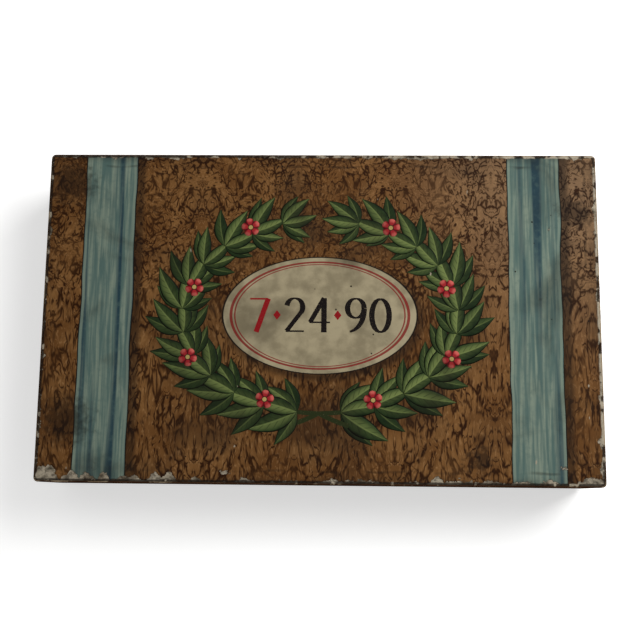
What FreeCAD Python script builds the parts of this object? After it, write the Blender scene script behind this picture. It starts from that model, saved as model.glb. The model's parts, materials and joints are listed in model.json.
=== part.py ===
# Boxed number game: a board box covered with paper, with a lift-off lid and the game's pieces inside.
# Millimetres, +Z up. The origin lies on the surface that the box stands on, under its middle.
# X runs along the box, Y runs across it, and the front is at -Y. The lid is on.
import FreeCAD
import Part

import math
import os

# Driving sizes of the box
LID_LENGTH = 262.0  # outside of the lid along X
LID_WIDTH = 157.0  # outside of the lid along Y
BOX_HEIGHT = 45.0  # standing height with the lid on
TRAY_FOOT = 5.0  # strip of the tray left showing under the lid's walls
BOARD = 2.2  # strawboard of the lid and the tray
LID_CORNER_RADIUS = 2.1  # upright corners of the lid, over its cover paper
TRAY_CORNER_RADIUS = 1.5  # upright corners of the tray, over its cover paper
LID_EDGE_RADIUS = 0.6  # edge between the lid's top and its sides
LID_PLAY = 0.5  # gap on each side between the lid and the tray

# Papers pasted on the boards
COVER_PAPER = 0.3
STAY_PAPER = 0.15  # strips that hold the upright corners, under the cover paper
STAY_LEG = 12.0  # reach of a corner strip along each wall
LINING_PAPER = 0.2
PRINTED_SHEET = 0.25
BASE_SHEET = 0.25
TURN_IN = 10.0  # cover paper folded over a wall's edge to the inside
TOP_LIP = 6.0  # cover paper folded over the lid's top, under the printed sheet
BASE_SHEET_INSET = 0.4  # base sheet kept back from the tray's outside

# Partitions that part the tray into four compartments
PARTITION = 1.6
PARTITION_DROP = 1.0  # top of the partitions below the tray's turned-in paper
STRIP_PAPER = 0.25  # angle strips that hold the partitions' ends
STRIP_LEG = 8.0

# Game pieces
CARD_COUNT = 24
CARD_THICKNESS = 1.1
CARD_GAP = 1.5  # between the card stack and its compartment
CARD_SHIFT = 0.5  # how far a card lies out of line in the stack
CARD_TURN = 0.15  # how far a card lies askew in the stack, in degrees
DISC_DIAMETER = 15.5
DISC_THICKNESS = 5.0
DISC_CHAMFER = 0.5
DISC_GAP = 0.4  # between neighbouring discs, and to their compartment
DISC_SHIFT = 0.12  # how far a disc lies out of line in its pile
DISC_COLUMNS = 5
DISC_ROWS = 6
DISC_LAYERS = 3
COUNTER_DIAMETER = 12.0
COUNTER_THICKNESS = 1.3
COUNTER_GAP = 0.7
COUNTER_SHIFT = 0.2
COUNTER_LAYERS = 4
BAG_GAP = 7.0  # between the folded bag and its compartment
BAG_THICKNESS = 9.0
BAG_ROUNDING = 3.5

# Plan sizes, from the outside of the lid inwards, each as (along X, along Y)
LID_OUTSIDE = (LID_LENGTH, LID_WIDTH)


def inset(plan, margin):
    """A plan size taken in by the same margin on all four sides."""
    return (plan[0] - 2 * margin, plan[1] - 2 * margin)


LID_BOARD = inset(LID_OUTSIDE, COVER_PAPER)
LID_INSIDE = inset(LID_BOARD, BOARD)
TRAY_OUTSIDE = inset(LID_INSIDE, COVER_PAPER + LID_PLAY)
TRAY_BOARD = inset(TRAY_OUTSIDE, COVER_PAPER)
TRAY_INSIDE = inset(TRAY_BOARD, BOARD)
TRAY_CLEAR = inset(TRAY_INSIDE, LINING_PAPER)

# Heights, from the bottom up
BASE_UNDER = BASE_SHEET
BASE_TOP = BASE_UNDER + BOARD
FLOOR = BASE_TOP + LINING_PAPER
LID_TOP = BOX_HEIGHT - PRINTED_SHEET - COVER_PAPER  # top of the lid's board
LID_WALL_TOP = LID_TOP - BOARD
LID_UNDER = LID_WALL_TOP - LINING_PAPER  # face that rests on the tray's rim
LID_RIM = TRAY_FOOT
RIM = LID_UNDER
TURN_IN_BOTTOM = RIM - TURN_IN
PARTITION_TOP = TURN_IN_BOTTOM - PARTITION_DROP

# Compartments: the discs set the width of the right-hand side, and the cards and the bag share the rest
DISC_PITCH = DISC_DIAMETER + DISC_GAP
DISC_MARGIN = DISC_GAP + STRIP_PAPER  # from the outer discs to the walls of their compartment
COUNTER_PITCH = COUNTER_DIAMETER + COUNTER_GAP
RIGHT_X1 = TRAY_CLEAR[0] / 2
RIGHT_X0 = RIGHT_X1 - DISC_COLUMNS * DISC_PITCH + DISC_GAP - 2 * DISC_MARGIN
LEFT_X1 = RIGHT_X0 - PARTITION
LEFT_X0 = -TRAY_CLEAR[0] / 2
BACK_Y = TRAY_CLEAR[1] / 2
FRONT_Y = -BACK_Y
CARD_PARTITION_Y = 0.0  # middle of the partition between the cards and the bag
DISC_Y0 = BACK_Y - DISC_ROWS * DISC_PITCH + DISC_GAP - 2 * DISC_MARGIN
COUNTER_Y1 = DISC_Y0 - PARTITION


def block(x0, x1, y0, y1, z0, z1):
    """A plain block between two opposite corners."""
    return Part.makeBox(x1 - x0, y1 - y0, z1 - z0, FreeCAD.Vector(x0, y0, z0))


def centred_block(plan, z0, z1):
    """A plain block of a plan size, centred on the Z axis."""
    return block(-plan[0] / 2, plan[0] / 2, -plan[1] / 2, plan[1] / 2, z0, z1)


def upright(edge):
    """True for a straight edge along Z."""
    box = edge.BoundBox
    return box.ZLength > 1e-6 and box.XLength < 1e-6 and box.YLength < 1e-6


def rounded_block(plan, z0, z1, radius):
    """A centred block whose four upright edges are rounded."""
    solid = centred_block(plan, z0, z1)
    return solid.makeFillet(radius, [e for e in solid.Edges if upright(e)])


def walls(board, z0, z1, radius):
    """Front, back, left and right walls of a box: the long walls run its full length and the ends stand between."""
    half_x = board[0] / 2
    half_y = board[1] / 2
    reach = half_y - BOARD
    outline = rounded_block(board, z0, z1, radius)
    made = {}
    for name, side in (("front", -1), ("back", 1)):
        y = sorted((side * half_y, side * (half_y - BOARD)))
        made[name] = block(-half_x, half_x, y[0], y[1], z0, z1).common(outline)
    for name, side in (("left", -1), ("right", 1)):
        x = sorted((side * half_x, side * (half_x - BOARD)))
        made[name] = block(x[0], x[1], -reach, reach, z0, z1).common(outline)
    return made


def corner_stays(board, z0, z1, radius):
    """Four paper strips, each bent round an upright corner of the boards."""
    strip_plan = inset(board, -STAY_PAPER)
    band = rounded_block(strip_plan, z0, z1, radius + STAY_PAPER)
    band = band.cut(rounded_block(board, z0, z1, radius))
    reach_x = strip_plan[0] / 2 - STAY_LEG
    reach_y = strip_plan[1] / 2 - STAY_LEG
    stays = []
    for side_x in (-1, 1):
        for side_y in (-1, 1):
            x = sorted((side_x * reach_x, side_x * strip_plan[0]))
            y = sorted((side_y * reach_y, side_y * strip_plan[1]))
            stays.append(band.common(block(x[0], x[1], y[0], y[1], z0, z1)))
    return Part.makeCompound([solid for stay in stays for solid in stay.Solids])


def lid_cover_paper(stays):
    """Cover paper of the lid: its sides, a lip over the top, and a turn-in round the bottom of the walls."""
    lip_top = LID_TOP + COVER_PAPER
    paper = rounded_block(LID_OUTSIDE, LID_RIM, lip_top, LID_CORNER_RADIUS)
    top_edges = [e for e in paper.Edges if e.BoundBox.ZMin > lip_top - 1e-6]
    paper = paper.makeFillet(LID_EDGE_RADIUS, top_edges)
    boards = rounded_block(LID_BOARD, LID_RIM + COVER_PAPER, LID_TOP, LID_CORNER_RADIUS - COVER_PAPER)
    hollow = inset(LID_INSIDE, COVER_PAPER)
    paper = paper.cut(boards)
    paper = paper.cut(centred_block(inset(LID_OUTSIDE, TOP_LIP), LID_TOP, lip_top))
    paper = paper.cut(centred_block(hollow, LID_RIM, LID_RIM + COVER_PAPER))
    paper = paper.cut(stays)
    flap = centred_block(LID_INSIDE, LID_RIM + COVER_PAPER, LID_RIM + TURN_IN)
    flap = flap.cut(centred_block(hollow, LID_RIM + COVER_PAPER, LID_RIM + TURN_IN))
    return paper.fuse(flap).removeSplitter()


def tray_cover_paper(stays):
    """Cover paper of the tray: its sides, the top of its rim, and a turn-in down the inside."""
    paper = rounded_block(TRAY_OUTSIDE, BASE_UNDER, RIM, TRAY_CORNER_RADIUS)
    boards = rounded_block(TRAY_BOARD, BASE_UNDER, RIM - COVER_PAPER, TRAY_CORNER_RADIUS - COVER_PAPER)
    hollow = inset(TRAY_INSIDE, COVER_PAPER)
    paper = paper.cut(boards)
    paper = paper.cut(centred_block(hollow, RIM - COVER_PAPER, RIM))
    paper = paper.cut(stays)
    flap = centred_block(TRAY_INSIDE, TURN_IN_BOTTOM, RIM - COVER_PAPER)
    flap = flap.cut(centred_block(hollow, TURN_IN_BOTTOM, RIM - COVER_PAPER))
    return paper.fuse(flap).removeSplitter()


def lid_nodes():
    """The lid's pieces: five boards, corner strips, cover paper, infill, printed sheet and lining."""
    board_radius = LID_CORNER_RADIUS - COVER_PAPER
    wall_bottom = LID_RIM + COVER_PAPER
    stays = corner_stays(LID_BOARD, wall_bottom, LID_TOP, board_radius)
    nodes = {"lid_top_board": rounded_block(LID_BOARD, LID_WALL_TOP, LID_TOP, board_radius)}
    for side, wall in walls(LID_BOARD, wall_bottom, LID_WALL_TOP, board_radius).items():
        nodes[f"lid_{side}_wall"] = wall
    sheet_plan = inset(LID_OUTSIDE, LID_EDGE_RADIUS)
    sheet_bottom = LID_TOP + COVER_PAPER
    nodes["lid_corner_stays"] = stays
    nodes["lid_cover_paper"] = lid_cover_paper(stays)
    nodes["lid_infill_paper"] = centred_block(inset(LID_OUTSIDE, TOP_LIP), LID_TOP, sheet_bottom)
    nodes["lid_printed_sheet"] = rounded_block(
        sheet_plan, sheet_bottom, BOX_HEIGHT, LID_CORNER_RADIUS - LID_EDGE_RADIUS
    )
    nodes["lid_lining_paper"] = centred_block(LID_INSIDE, LID_UNDER, LID_WALL_TOP)
    return nodes


def tray_nodes():
    """The tray's pieces: five boards, corner strips, cover paper, base sheet and linings."""
    board_radius = TRAY_CORNER_RADIUS - COVER_PAPER
    wall_top = RIM - COVER_PAPER
    stays = corner_stays(TRAY_BOARD, BASE_UNDER, wall_top, board_radius)
    nodes = {"tray_base_board": rounded_block(TRAY_BOARD, BASE_UNDER, BASE_TOP, board_radius)}
    for side, wall in walls(TRAY_BOARD, BASE_TOP, wall_top, board_radius).items():
        nodes[f"tray_{side}_wall"] = wall
    nodes["tray_corner_stays"] = stays
    nodes["tray_cover_paper"] = tray_cover_paper(stays)
    nodes["tray_base_paper"] = centred_block(inset(TRAY_OUTSIDE, BASE_SHEET_INSET), 0, BASE_SHEET)
    nodes["tray_floor_lining"] = centred_block(TRAY_INSIDE, BASE_TOP, FLOOR)
    lining = centred_block(TRAY_INSIDE, FLOOR, TURN_IN_BOTTOM)
    nodes["tray_wall_lining"] = lining.cut(centred_block(TRAY_CLEAR, FLOOR, TURN_IN_BOTTOM))
    return nodes


def angle_strip(x, y, way_x, way_y):
    """A paper strip folded into an inside corner, with one leg each way along X and Y."""
    along_x = sorted((x, x + way_x * STRIP_LEG))
    along_y = sorted((y, y + way_y * STRIP_LEG))
    thick_x = sorted((x, x + way_x * STRIP_PAPER))
    thick_y = sorted((y, y + way_y * STRIP_PAPER))
    leg_x = block(along_x[0], along_x[1], thick_y[0], thick_y[1], FLOOR, PARTITION_TOP)
    leg_y = block(thick_x[0], thick_x[1], along_y[0], along_y[1], FLOOR, PARTITION_TOP)
    return leg_x.fuse(leg_y).removeSplitter()


def partition_nodes():
    """Three upright partitions, and the folded strips that hold their ends."""
    half = PARTITION / 2
    card_y = (CARD_PARTITION_Y - half, CARD_PARTITION_Y + half)
    disc_y = (COUNTER_Y1, DISC_Y0)
    ends = []
    for x, way_x in ((LEFT_X1, -1), (RIGHT_X0, 1)):
        ends += [(x, FRONT_Y, way_x, 1), (x, BACK_Y, way_x, -1)]
    for y, way_y in ((card_y[0], -1), (card_y[1], 1)):
        ends += [(LEFT_X0, y, 1, way_y), (LEFT_X1, y, -1, way_y)]
    for y, way_y in ((disc_y[0], -1), (disc_y[1], 1)):
        ends += [(RIGHT_X0, y, 1, way_y), (RIGHT_X1, y, -1, way_y)]
    return {
        "cross_partition": block(LEFT_X1, RIGHT_X0, FRONT_Y, BACK_Y, FLOOR, PARTITION_TOP),
        "card_partition": block(LEFT_X0, LEFT_X1, card_y[0], card_y[1], FLOOR, PARTITION_TOP),
        "disc_partition": block(RIGHT_X0, RIGHT_X1, disc_y[0], disc_y[1], FLOOR, PARTITION_TOP),
        "partition_strips": Part.makeCompound([angle_strip(*end) for end in ends]),
    }


def scatter(index, phase):
    """A repeatable number from -1 to 1 for the way a loose piece lies."""
    return math.sin(12.9898 * (index + 1) + 78.233 * phase)


def number_cards():
    """A stack of number cards at the back left, each lying a little out of line."""
    y0 = CARD_PARTITION_Y + PARTITION / 2
    length = LEFT_X1 - LEFT_X0 - 2 * CARD_GAP
    width = BACK_Y - y0 - 2 * CARD_GAP
    middle = FreeCAD.Vector((LEFT_X0 + LEFT_X1) / 2, (y0 + BACK_Y) / 2, 0)
    cards = []
    for i in range(CARD_COUNT):
        card = centred_block((length, width), 0, CARD_THICKNESS)
        card.rotate(FreeCAD.Vector(), FreeCAD.Vector(0, 0, 1), CARD_TURN * scatter(i, 1))
        lie = FreeCAD.Vector(CARD_SHIFT * scatter(i, 2), CARD_SHIFT * scatter(i, 3), FLOOR + i * CARD_THICKNESS)
        card.translate(middle + lie)
        cards.append(card)
    return Part.makeCompound(cards)


def number_discs():
    """Turned wooden number discs at the back right, in piles."""
    disc = Part.makeCylinder(DISC_DIAMETER / 2, DISC_THICKNESS)
    rims = [e for e in disc.Edges if e.Closed]
    disc = disc.makeChamfer(DISC_CHAMFER, rims)
    discs = []
    for row in range(DISC_ROWS):
        for column in range(DISC_COLUMNS):
            x = RIGHT_X0 + DISC_MARGIN + DISC_DIAMETER / 2 + column * DISC_PITCH
            y = BACK_Y - DISC_MARGIN - DISC_DIAMETER / 2 - row * DISC_PITCH
            for layer in range(DISC_LAYERS):
                i = len(discs)
                lie_x = DISC_SHIFT * scatter(i, 4)
                lie_y = DISC_SHIFT * scatter(i, 5)
                placed = disc.copy()
                placed.translate(FreeCAD.Vector(x + lie_x, y + lie_y, FLOOR + layer * DISC_THICKNESS))
                discs.append(placed)
    return Part.makeCompound(discs)


def cover_counters():
    """Thin round counters at the front right, in as many piles as the compartment takes."""
    room_x = RIGHT_X1 - RIGHT_X0 - 2 * STRIP_PAPER
    room_y = COUNTER_Y1 - FRONT_Y - 2 * STRIP_PAPER
    columns = int(room_x // COUNTER_PITCH)
    rows = int(room_y // COUNTER_PITCH)
    pitch_x = room_x / columns
    pitch_y = room_y / rows
    counters = []
    for row in range(rows):
        for column in range(columns):
            x = RIGHT_X0 + STRIP_PAPER + (column + 0.5) * pitch_x
            y = FRONT_Y + STRIP_PAPER + (row + 0.5) * pitch_y
            for layer in range(COUNTER_LAYERS):
                i = len(counters)
                place = FreeCAD.Vector(
                    x + COUNTER_SHIFT * scatter(i, 6),
                    y + COUNTER_SHIFT * scatter(i, 7),
                    FLOOR + layer * COUNTER_THICKNESS,
                )
                counters.append(Part.makeCylinder(COUNTER_DIAMETER / 2, COUNTER_THICKNESS, place))
    return Part.makeCompound(counters)


def draw_bag():
    """Folded cloth bag at the front left, as a soft block with rounded edges."""
    y1 = CARD_PARTITION_Y - PARTITION / 2
    bag = block(
        LEFT_X0 + BAG_GAP, LEFT_X1 - BAG_GAP, FRONT_Y + BAG_GAP, y1 - BAG_GAP, FLOOR, FLOOR + BAG_THICKNESS
    )
    return bag.makeFillet(min(BAG_ROUNDING, 0.45 * BAG_THICKNESS), bag.Edges)


def main():
    """Builds every piece and writes one file for each."""
    nodes = {**lid_nodes(), **tray_nodes(), **partition_nodes()}
    nodes["number_cards"] = number_cards()
    nodes["number_discs"] = number_discs()
    nodes["cover_counters"] = cover_counters()
    nodes["draw_bag"] = draw_bag()
    os.makedirs("parts", exist_ok=True)
    for name, shape in nodes.items():
        shape.exportStep(f"parts/{name}.step")
        print(f"{name}: {len(shape.Solids)} solids, {shape.Volume:.1f} mm3, valid {shape.isValid()}")


main()
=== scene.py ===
"""Looks of a boxed number game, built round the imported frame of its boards, papers and playing pieces.

Places and sizes are in metres, as in the frame. Names that end in _mm are in millimetres, and so is
everything that a shader works with.
"""

from __future__ import annotations

import enum
import functools
import json
import logging
import math
from collections.abc import Callable, Sequence
from dataclasses import dataclass, field
from typing import Any, Union

import bpy
import numpy as np
import numpy.typing as npt
from mathutils import Matrix, Vector

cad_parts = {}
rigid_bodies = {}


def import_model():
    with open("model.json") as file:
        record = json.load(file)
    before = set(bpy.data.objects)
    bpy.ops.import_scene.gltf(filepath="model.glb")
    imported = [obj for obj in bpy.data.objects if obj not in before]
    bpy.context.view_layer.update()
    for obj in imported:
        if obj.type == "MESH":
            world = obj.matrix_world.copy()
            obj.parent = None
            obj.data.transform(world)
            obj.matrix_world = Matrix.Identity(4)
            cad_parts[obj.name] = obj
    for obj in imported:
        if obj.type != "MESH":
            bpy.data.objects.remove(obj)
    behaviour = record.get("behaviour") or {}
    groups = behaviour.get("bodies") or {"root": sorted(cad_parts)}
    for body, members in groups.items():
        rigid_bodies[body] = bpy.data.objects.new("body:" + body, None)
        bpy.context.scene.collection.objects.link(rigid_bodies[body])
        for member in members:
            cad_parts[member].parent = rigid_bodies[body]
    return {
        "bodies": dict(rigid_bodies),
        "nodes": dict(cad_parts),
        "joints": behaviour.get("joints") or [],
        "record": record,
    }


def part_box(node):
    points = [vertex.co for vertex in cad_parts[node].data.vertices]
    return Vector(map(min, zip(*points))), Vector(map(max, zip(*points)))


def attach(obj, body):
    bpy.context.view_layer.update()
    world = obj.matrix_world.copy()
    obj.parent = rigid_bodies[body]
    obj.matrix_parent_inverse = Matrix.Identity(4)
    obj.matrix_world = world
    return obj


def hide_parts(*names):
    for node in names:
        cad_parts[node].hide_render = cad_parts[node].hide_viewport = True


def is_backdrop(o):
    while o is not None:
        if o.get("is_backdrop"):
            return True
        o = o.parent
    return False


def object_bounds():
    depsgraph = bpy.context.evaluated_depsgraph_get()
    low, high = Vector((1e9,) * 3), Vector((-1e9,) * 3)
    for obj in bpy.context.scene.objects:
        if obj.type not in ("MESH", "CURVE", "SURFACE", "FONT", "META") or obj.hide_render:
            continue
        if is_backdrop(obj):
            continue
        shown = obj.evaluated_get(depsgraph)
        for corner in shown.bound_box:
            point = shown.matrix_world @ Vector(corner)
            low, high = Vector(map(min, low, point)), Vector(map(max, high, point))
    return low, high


Array = npt.NDArray[np.float64]
Faces = npt.NDArray[np.int64]
Colour = tuple[float, float, float, float]
Plug = Union[float, Sequence[float], "Wire"]

LOG = logging.getLogger("number_game")
MM = 0.001
INK = 0.02 * MM  # height of a printed line above and below the paper's face
LATTICE = 128  # size of the table of random numbers behind a lattice noise
TINY = 1e-12
ORIGIN = (0.0, 0.0, 0.0)
WHITE: Colour = (1.0, 1.0, 1.0, 1.0)
GRIME: Colour = (0.012, 0.0085, 0.006, 1.0)
SPECK: Colour = (0.008, 0.006, 0.005, 1.0)
NICK: Colour = (0.27, 0.23, 0.17, 1.0)


def srgb(red: float, green: float, blue: float) -> Colour:
    """Turns a colour as a screen shows it, 0 to 255, into linear light.

    Args:
        red, green, blue: the three screen values.

    Returns:
        The linear colour with an alpha of 1.
    """
    shown = np.array((red, green, blue)) / 255
    linear = np.where(shown <= 0.04045, shown / 12.92, ((shown + 0.055) / 1.055) ** 2.4)
    return (*linear.tolist(), 1.0)


def smooth_step(low: float, high: float, value: Array) -> Array:
    """The curve 3t^2 - 2t^3, where t runs from 0 at low to 1 at high.

    Args:
        low, high: where the step starts and ends.
        value: the values to pass through it.

    Returns:
        Values from 0 to 1.
    """
    t = np.clip((value - low) / (high - low), 0, 1)
    return t * t * (3 - 2 * t)


def lattice_noise(x: Array, y: Array, cell: float, seed: int) -> Array:
    """Random numbers at the corners of square cells, blended smoothly across each cell.

    Args:
        x, y: where the noise is read.
        cell: side of a cell, in the units of x and y.
        seed: picks the table of random numbers.

    Returns:
        Values from 0 to 1.
    """
    table = np.random.default_rng(seed).random((LATTICE, LATTICE))
    column, row = np.floor(x / cell).astype(int), np.floor(y / cell).astype(int)
    across = smooth_step(0, 1, x / cell - column)
    up = smooth_step(0, 1, y / cell - row)

    def corner(right: int, top: int) -> Array:
        """Table values at one corner of each point's cell."""
        return table[(column + right) % LATTICE, (row + top) % LATTICE]

    low = corner(0, 0) + (corner(1, 0) - corner(0, 0)) * across
    high = corner(0, 1) + (corner(1, 1) - corner(0, 1)) * across
    return low + (high - low) * up


def fractal_noise(x: Array, y: Array, cell: float, seed: int, octaves: int) -> Array:
    """Lattice noise summed over octaves, each with half the cell and half the weight of the last.

    Args:
        x, y: where the noise is read.
        cell: side of the largest cell.
        seed: picks the tables.
        octaves: number of layers.

    Returns:
        Values from 0 to 1, around 0.5.
    """
    weights = 0.5 ** np.arange(octaves)
    layers = [w * lattice_noise(x, y, cell * w, seed + k) for k, w in enumerate(weights)]
    return sum(layers) / weights.sum()


def grid_quads(rows: int, columns: int, close_columns: bool = False) -> Faces:
    """Quads of a grid of points that are stored row by row.

    Args:
        rows, columns: number of points each way.
        close_columns: joins the last column to the first.

    Returns:
        An array of four point numbers for each quad.
    """
    start = np.arange(rows - 1)[:, None] * columns
    column = np.arange(columns if close_columns else columns - 1)[None, :]
    following = (column + 1) % columns
    corners = (start + column, start + following, start + columns + following, start + columns + column)
    return np.stack(corners, axis=-1).reshape(-1, 4)


def run_along(line: Array) -> Array:
    """Length of a line from its start to each of its points.

    Args:
        line: its points.

    Returns:
        The lengths, from 0.
    """
    return np.concatenate(([0], np.cumsum(np.linalg.norm(np.diff(line, axis=0), axis=1))))


def rounded_rectangle(half_x: float, half_y: float, radius: float, count: int) -> Array:
    """Points spaced evenly along a rectangle with rounded corners, anticlockwise.

    Args:
        half_x, half_y: half of its length and of its width.
        radius: radius of its corners.
        count: number of points.

    Returns:
        Points in a plane, as (count, 2).
    """
    turn = np.linspace(0, math.pi / 2, 9)
    corners = []
    for quarter, (sign_x, sign_y) in enumerate(((1, 1), (-1, 1), (-1, -1), (1, -1))):
        angle = turn + quarter * math.pi / 2
        x = sign_x * (half_x - radius) + radius * np.cos(angle)
        y = sign_y * (half_y - radius) + radius * np.sin(angle)
        corners.append(np.column_stack((x, y)))
    line = np.vstack((*corners, corners[0][:1]))
    run = run_along(line)
    at = np.linspace(0, run[-1], count, endpoint=False)
    return np.column_stack([np.interp(at, run, line[:, axis]) for axis in (0, 1)])


@dataclass
class Surface:
    """Points and faces, with the values that the points carry, before they become a mesh."""

    points: Array
    faces: list[Faces]
    uv: Array | None = None
    values: dict[str, Array] = field(default_factory=dict)

    @staticmethod
    def rings(rings: Array, first: Sequence[float], last: Sequence[float] | None = None) -> Surface:
        """Rings of points joined to each other, and to a point at either end.

        Args:
            rings: the points, as (rings, points of a ring, 3), anticlockwise seen from the first end.
            first: the point inside the first ring.
            last: the point inside the last ring, or None to leave it open.

        Returns:
            The surface, whose points run from the first end through the rings to the last.
        """
        count, columns, _ = rings.shape
        around = np.arange(columns)
        following = np.roll(around, -1)
        faces = [
            np.column_stack((np.zeros(columns, int), 1 + around, 1 + following)),
            grid_quads(count, columns, close_columns=True)[:, ::-1] + 1,
        ]
        points = [np.reshape(first, (1, 3)), rings.reshape(-1, 3)]
        if last is not None:
            end = count * columns + 1
            start = end - columns
            faces.append(np.column_stack((start + following, start + around, np.full(columns, end))))
            points.append(np.reshape(last, (1, 3)))
        return Surface(np.vstack(points), faces)

    @staticmethod
    def join(parts: Sequence[Surface]) -> Surface:
        """Puts several surfaces that carry the same values into one.

        Args:
            parts: the surfaces.

        Returns:
            One surface with all their points and faces.
        """
        starts = np.cumsum([0] + [len(part.points) for part in parts])
        faces = [block + start for part, start in zip(parts, starts) for block in part.faces]
        uv = None if parts[0].uv is None else np.vstack([part.uv for part in parts])
        values = {key: np.concatenate([part.values[key] for part in parts]) for key in parts[0].values}
        return Surface(np.vstack([part.points for part in parts]), faces, uv, values)

    def moved(self, offset: Sequence[float], turn: float = 0.0) -> Surface:
        """A copy that is turned about Z and then moved.

        Args:
            offset: how far it moves.
            turn: angle in radians.

        Returns:
            The moved copy.
        """
        cosine, sine = math.cos(turn), math.sin(turn)
        rotation = np.array(((cosine, -sine, 0), (sine, cosine, 0), (0, 0, 1)))
        return Surface(self.points @ rotation.T + np.asarray(offset), self.faces, self.uv, self.values)

    def mesh(self, name: str, smooth: bool, material: bpy.types.Material) -> bpy.types.Mesh:
        """Writes the surface into a new mesh.

        Args:
            name: the mesh's name.
            smooth: whether its faces are shaded smooth.
            material: its finish.

        Returns:
            The mesh, with its UV map and attributes.
        """
        mesh = bpy.data.meshes.new(name)
        mesh.from_pydata(self.points.tolist(), [], [face for block in self.faces for face in block.tolist()])
        mesh.polygons.foreach_set("use_smooth", np.full(len(mesh.polygons), smooth))
        if self.uv is not None:
            corner = np.zeros(len(mesh.loops), np.int32)
            mesh.loops.foreach_get("vertex_index", corner)
            mesh.uv_layers.new(name="Pattern").data.foreach_set("uv", self.uv[corner].ravel())
        for key, value in self.values.items():
            mesh.attributes.new(key, "FLOAT", "POINT").data.foreach_set("value", value.astype(np.float32))
        mesh.materials.append(material)
        mesh.update()
        return mesh


def show(name: str, data: bpy.types.ID) -> bpy.types.Object:
    """Puts a new object into the scene.

    Args:
        name: its name.
        data: its mesh, light or camera.

    Returns:
        The object.
    """
    thing = bpy.data.objects.new(name, data)
    bpy.context.scene.collection.objects.link(thing)
    return thing


def add_piece(
    name: str,
    surface: Surface,
    material: bpy.types.Material,
    body: str,
    slot: str,
    replaces: str = "",
    smooth: bool = True,
    thickness: float = 0.0,
    offset: float = -1.0,
) -> bpy.types.Object:
    """Makes a piece of the object and lets it ride on a body of the frame.

    Args:
        name: the piece's name.
        surface: its shape, already in place.
        material: its finish.
        body: the body that it moves with.
        slot: the record's material slot that it stands for; not used.
        replaces: the node of the frame that it takes the place of.
        smooth: whether its faces are shaded smooth.
        thickness: depth given to an open surface.
        offset: where the depth lies, from -1 for below the surface to 1 for above it.

    Returns:
        The new object.
    """
    piece = show(name, surface.mesh(name, smooth, material))
    if thickness:
        wall = piece.modifiers.new("thickness", "SOLIDIFY")
        wall.thickness = thickness
        wall.offset = offset
    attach(piece, body)
    if replaces:
        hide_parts(replaces)
    LOG.info("%s: %d points on %s", name, len(surface.points), body)
    return piece


def feed(socket: bpy.types.NodeSocket, value: Plug) -> None:
    """Links an input to a wire, or sets its value.

    Args:
        socket: the input.
        value: the wire or the value.
    """
    if isinstance(value, Wire):
        socket.id_data.links.new(value.socket, socket)
    else:
        socket.default_value = value


def add_node(
    tree: bpy.types.NodeTree, kind: str, inputs: dict[Any, Plug] | None = None, **settings: Any
) -> bpy.types.Node:
    """Adds a node to a tree.

    Args:
        tree: the tree.
        kind: the node's type.
        inputs: what its inputs get, by name or number.
        settings: its other properties.

    Returns:
        The node.
    """
    node = tree.nodes.new(kind)
    for key, value in settings.items():
        setattr(node, key, value)
    for key, value in (inputs or {}).items():
        feed(node.inputs[key], value)
    return node


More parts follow.
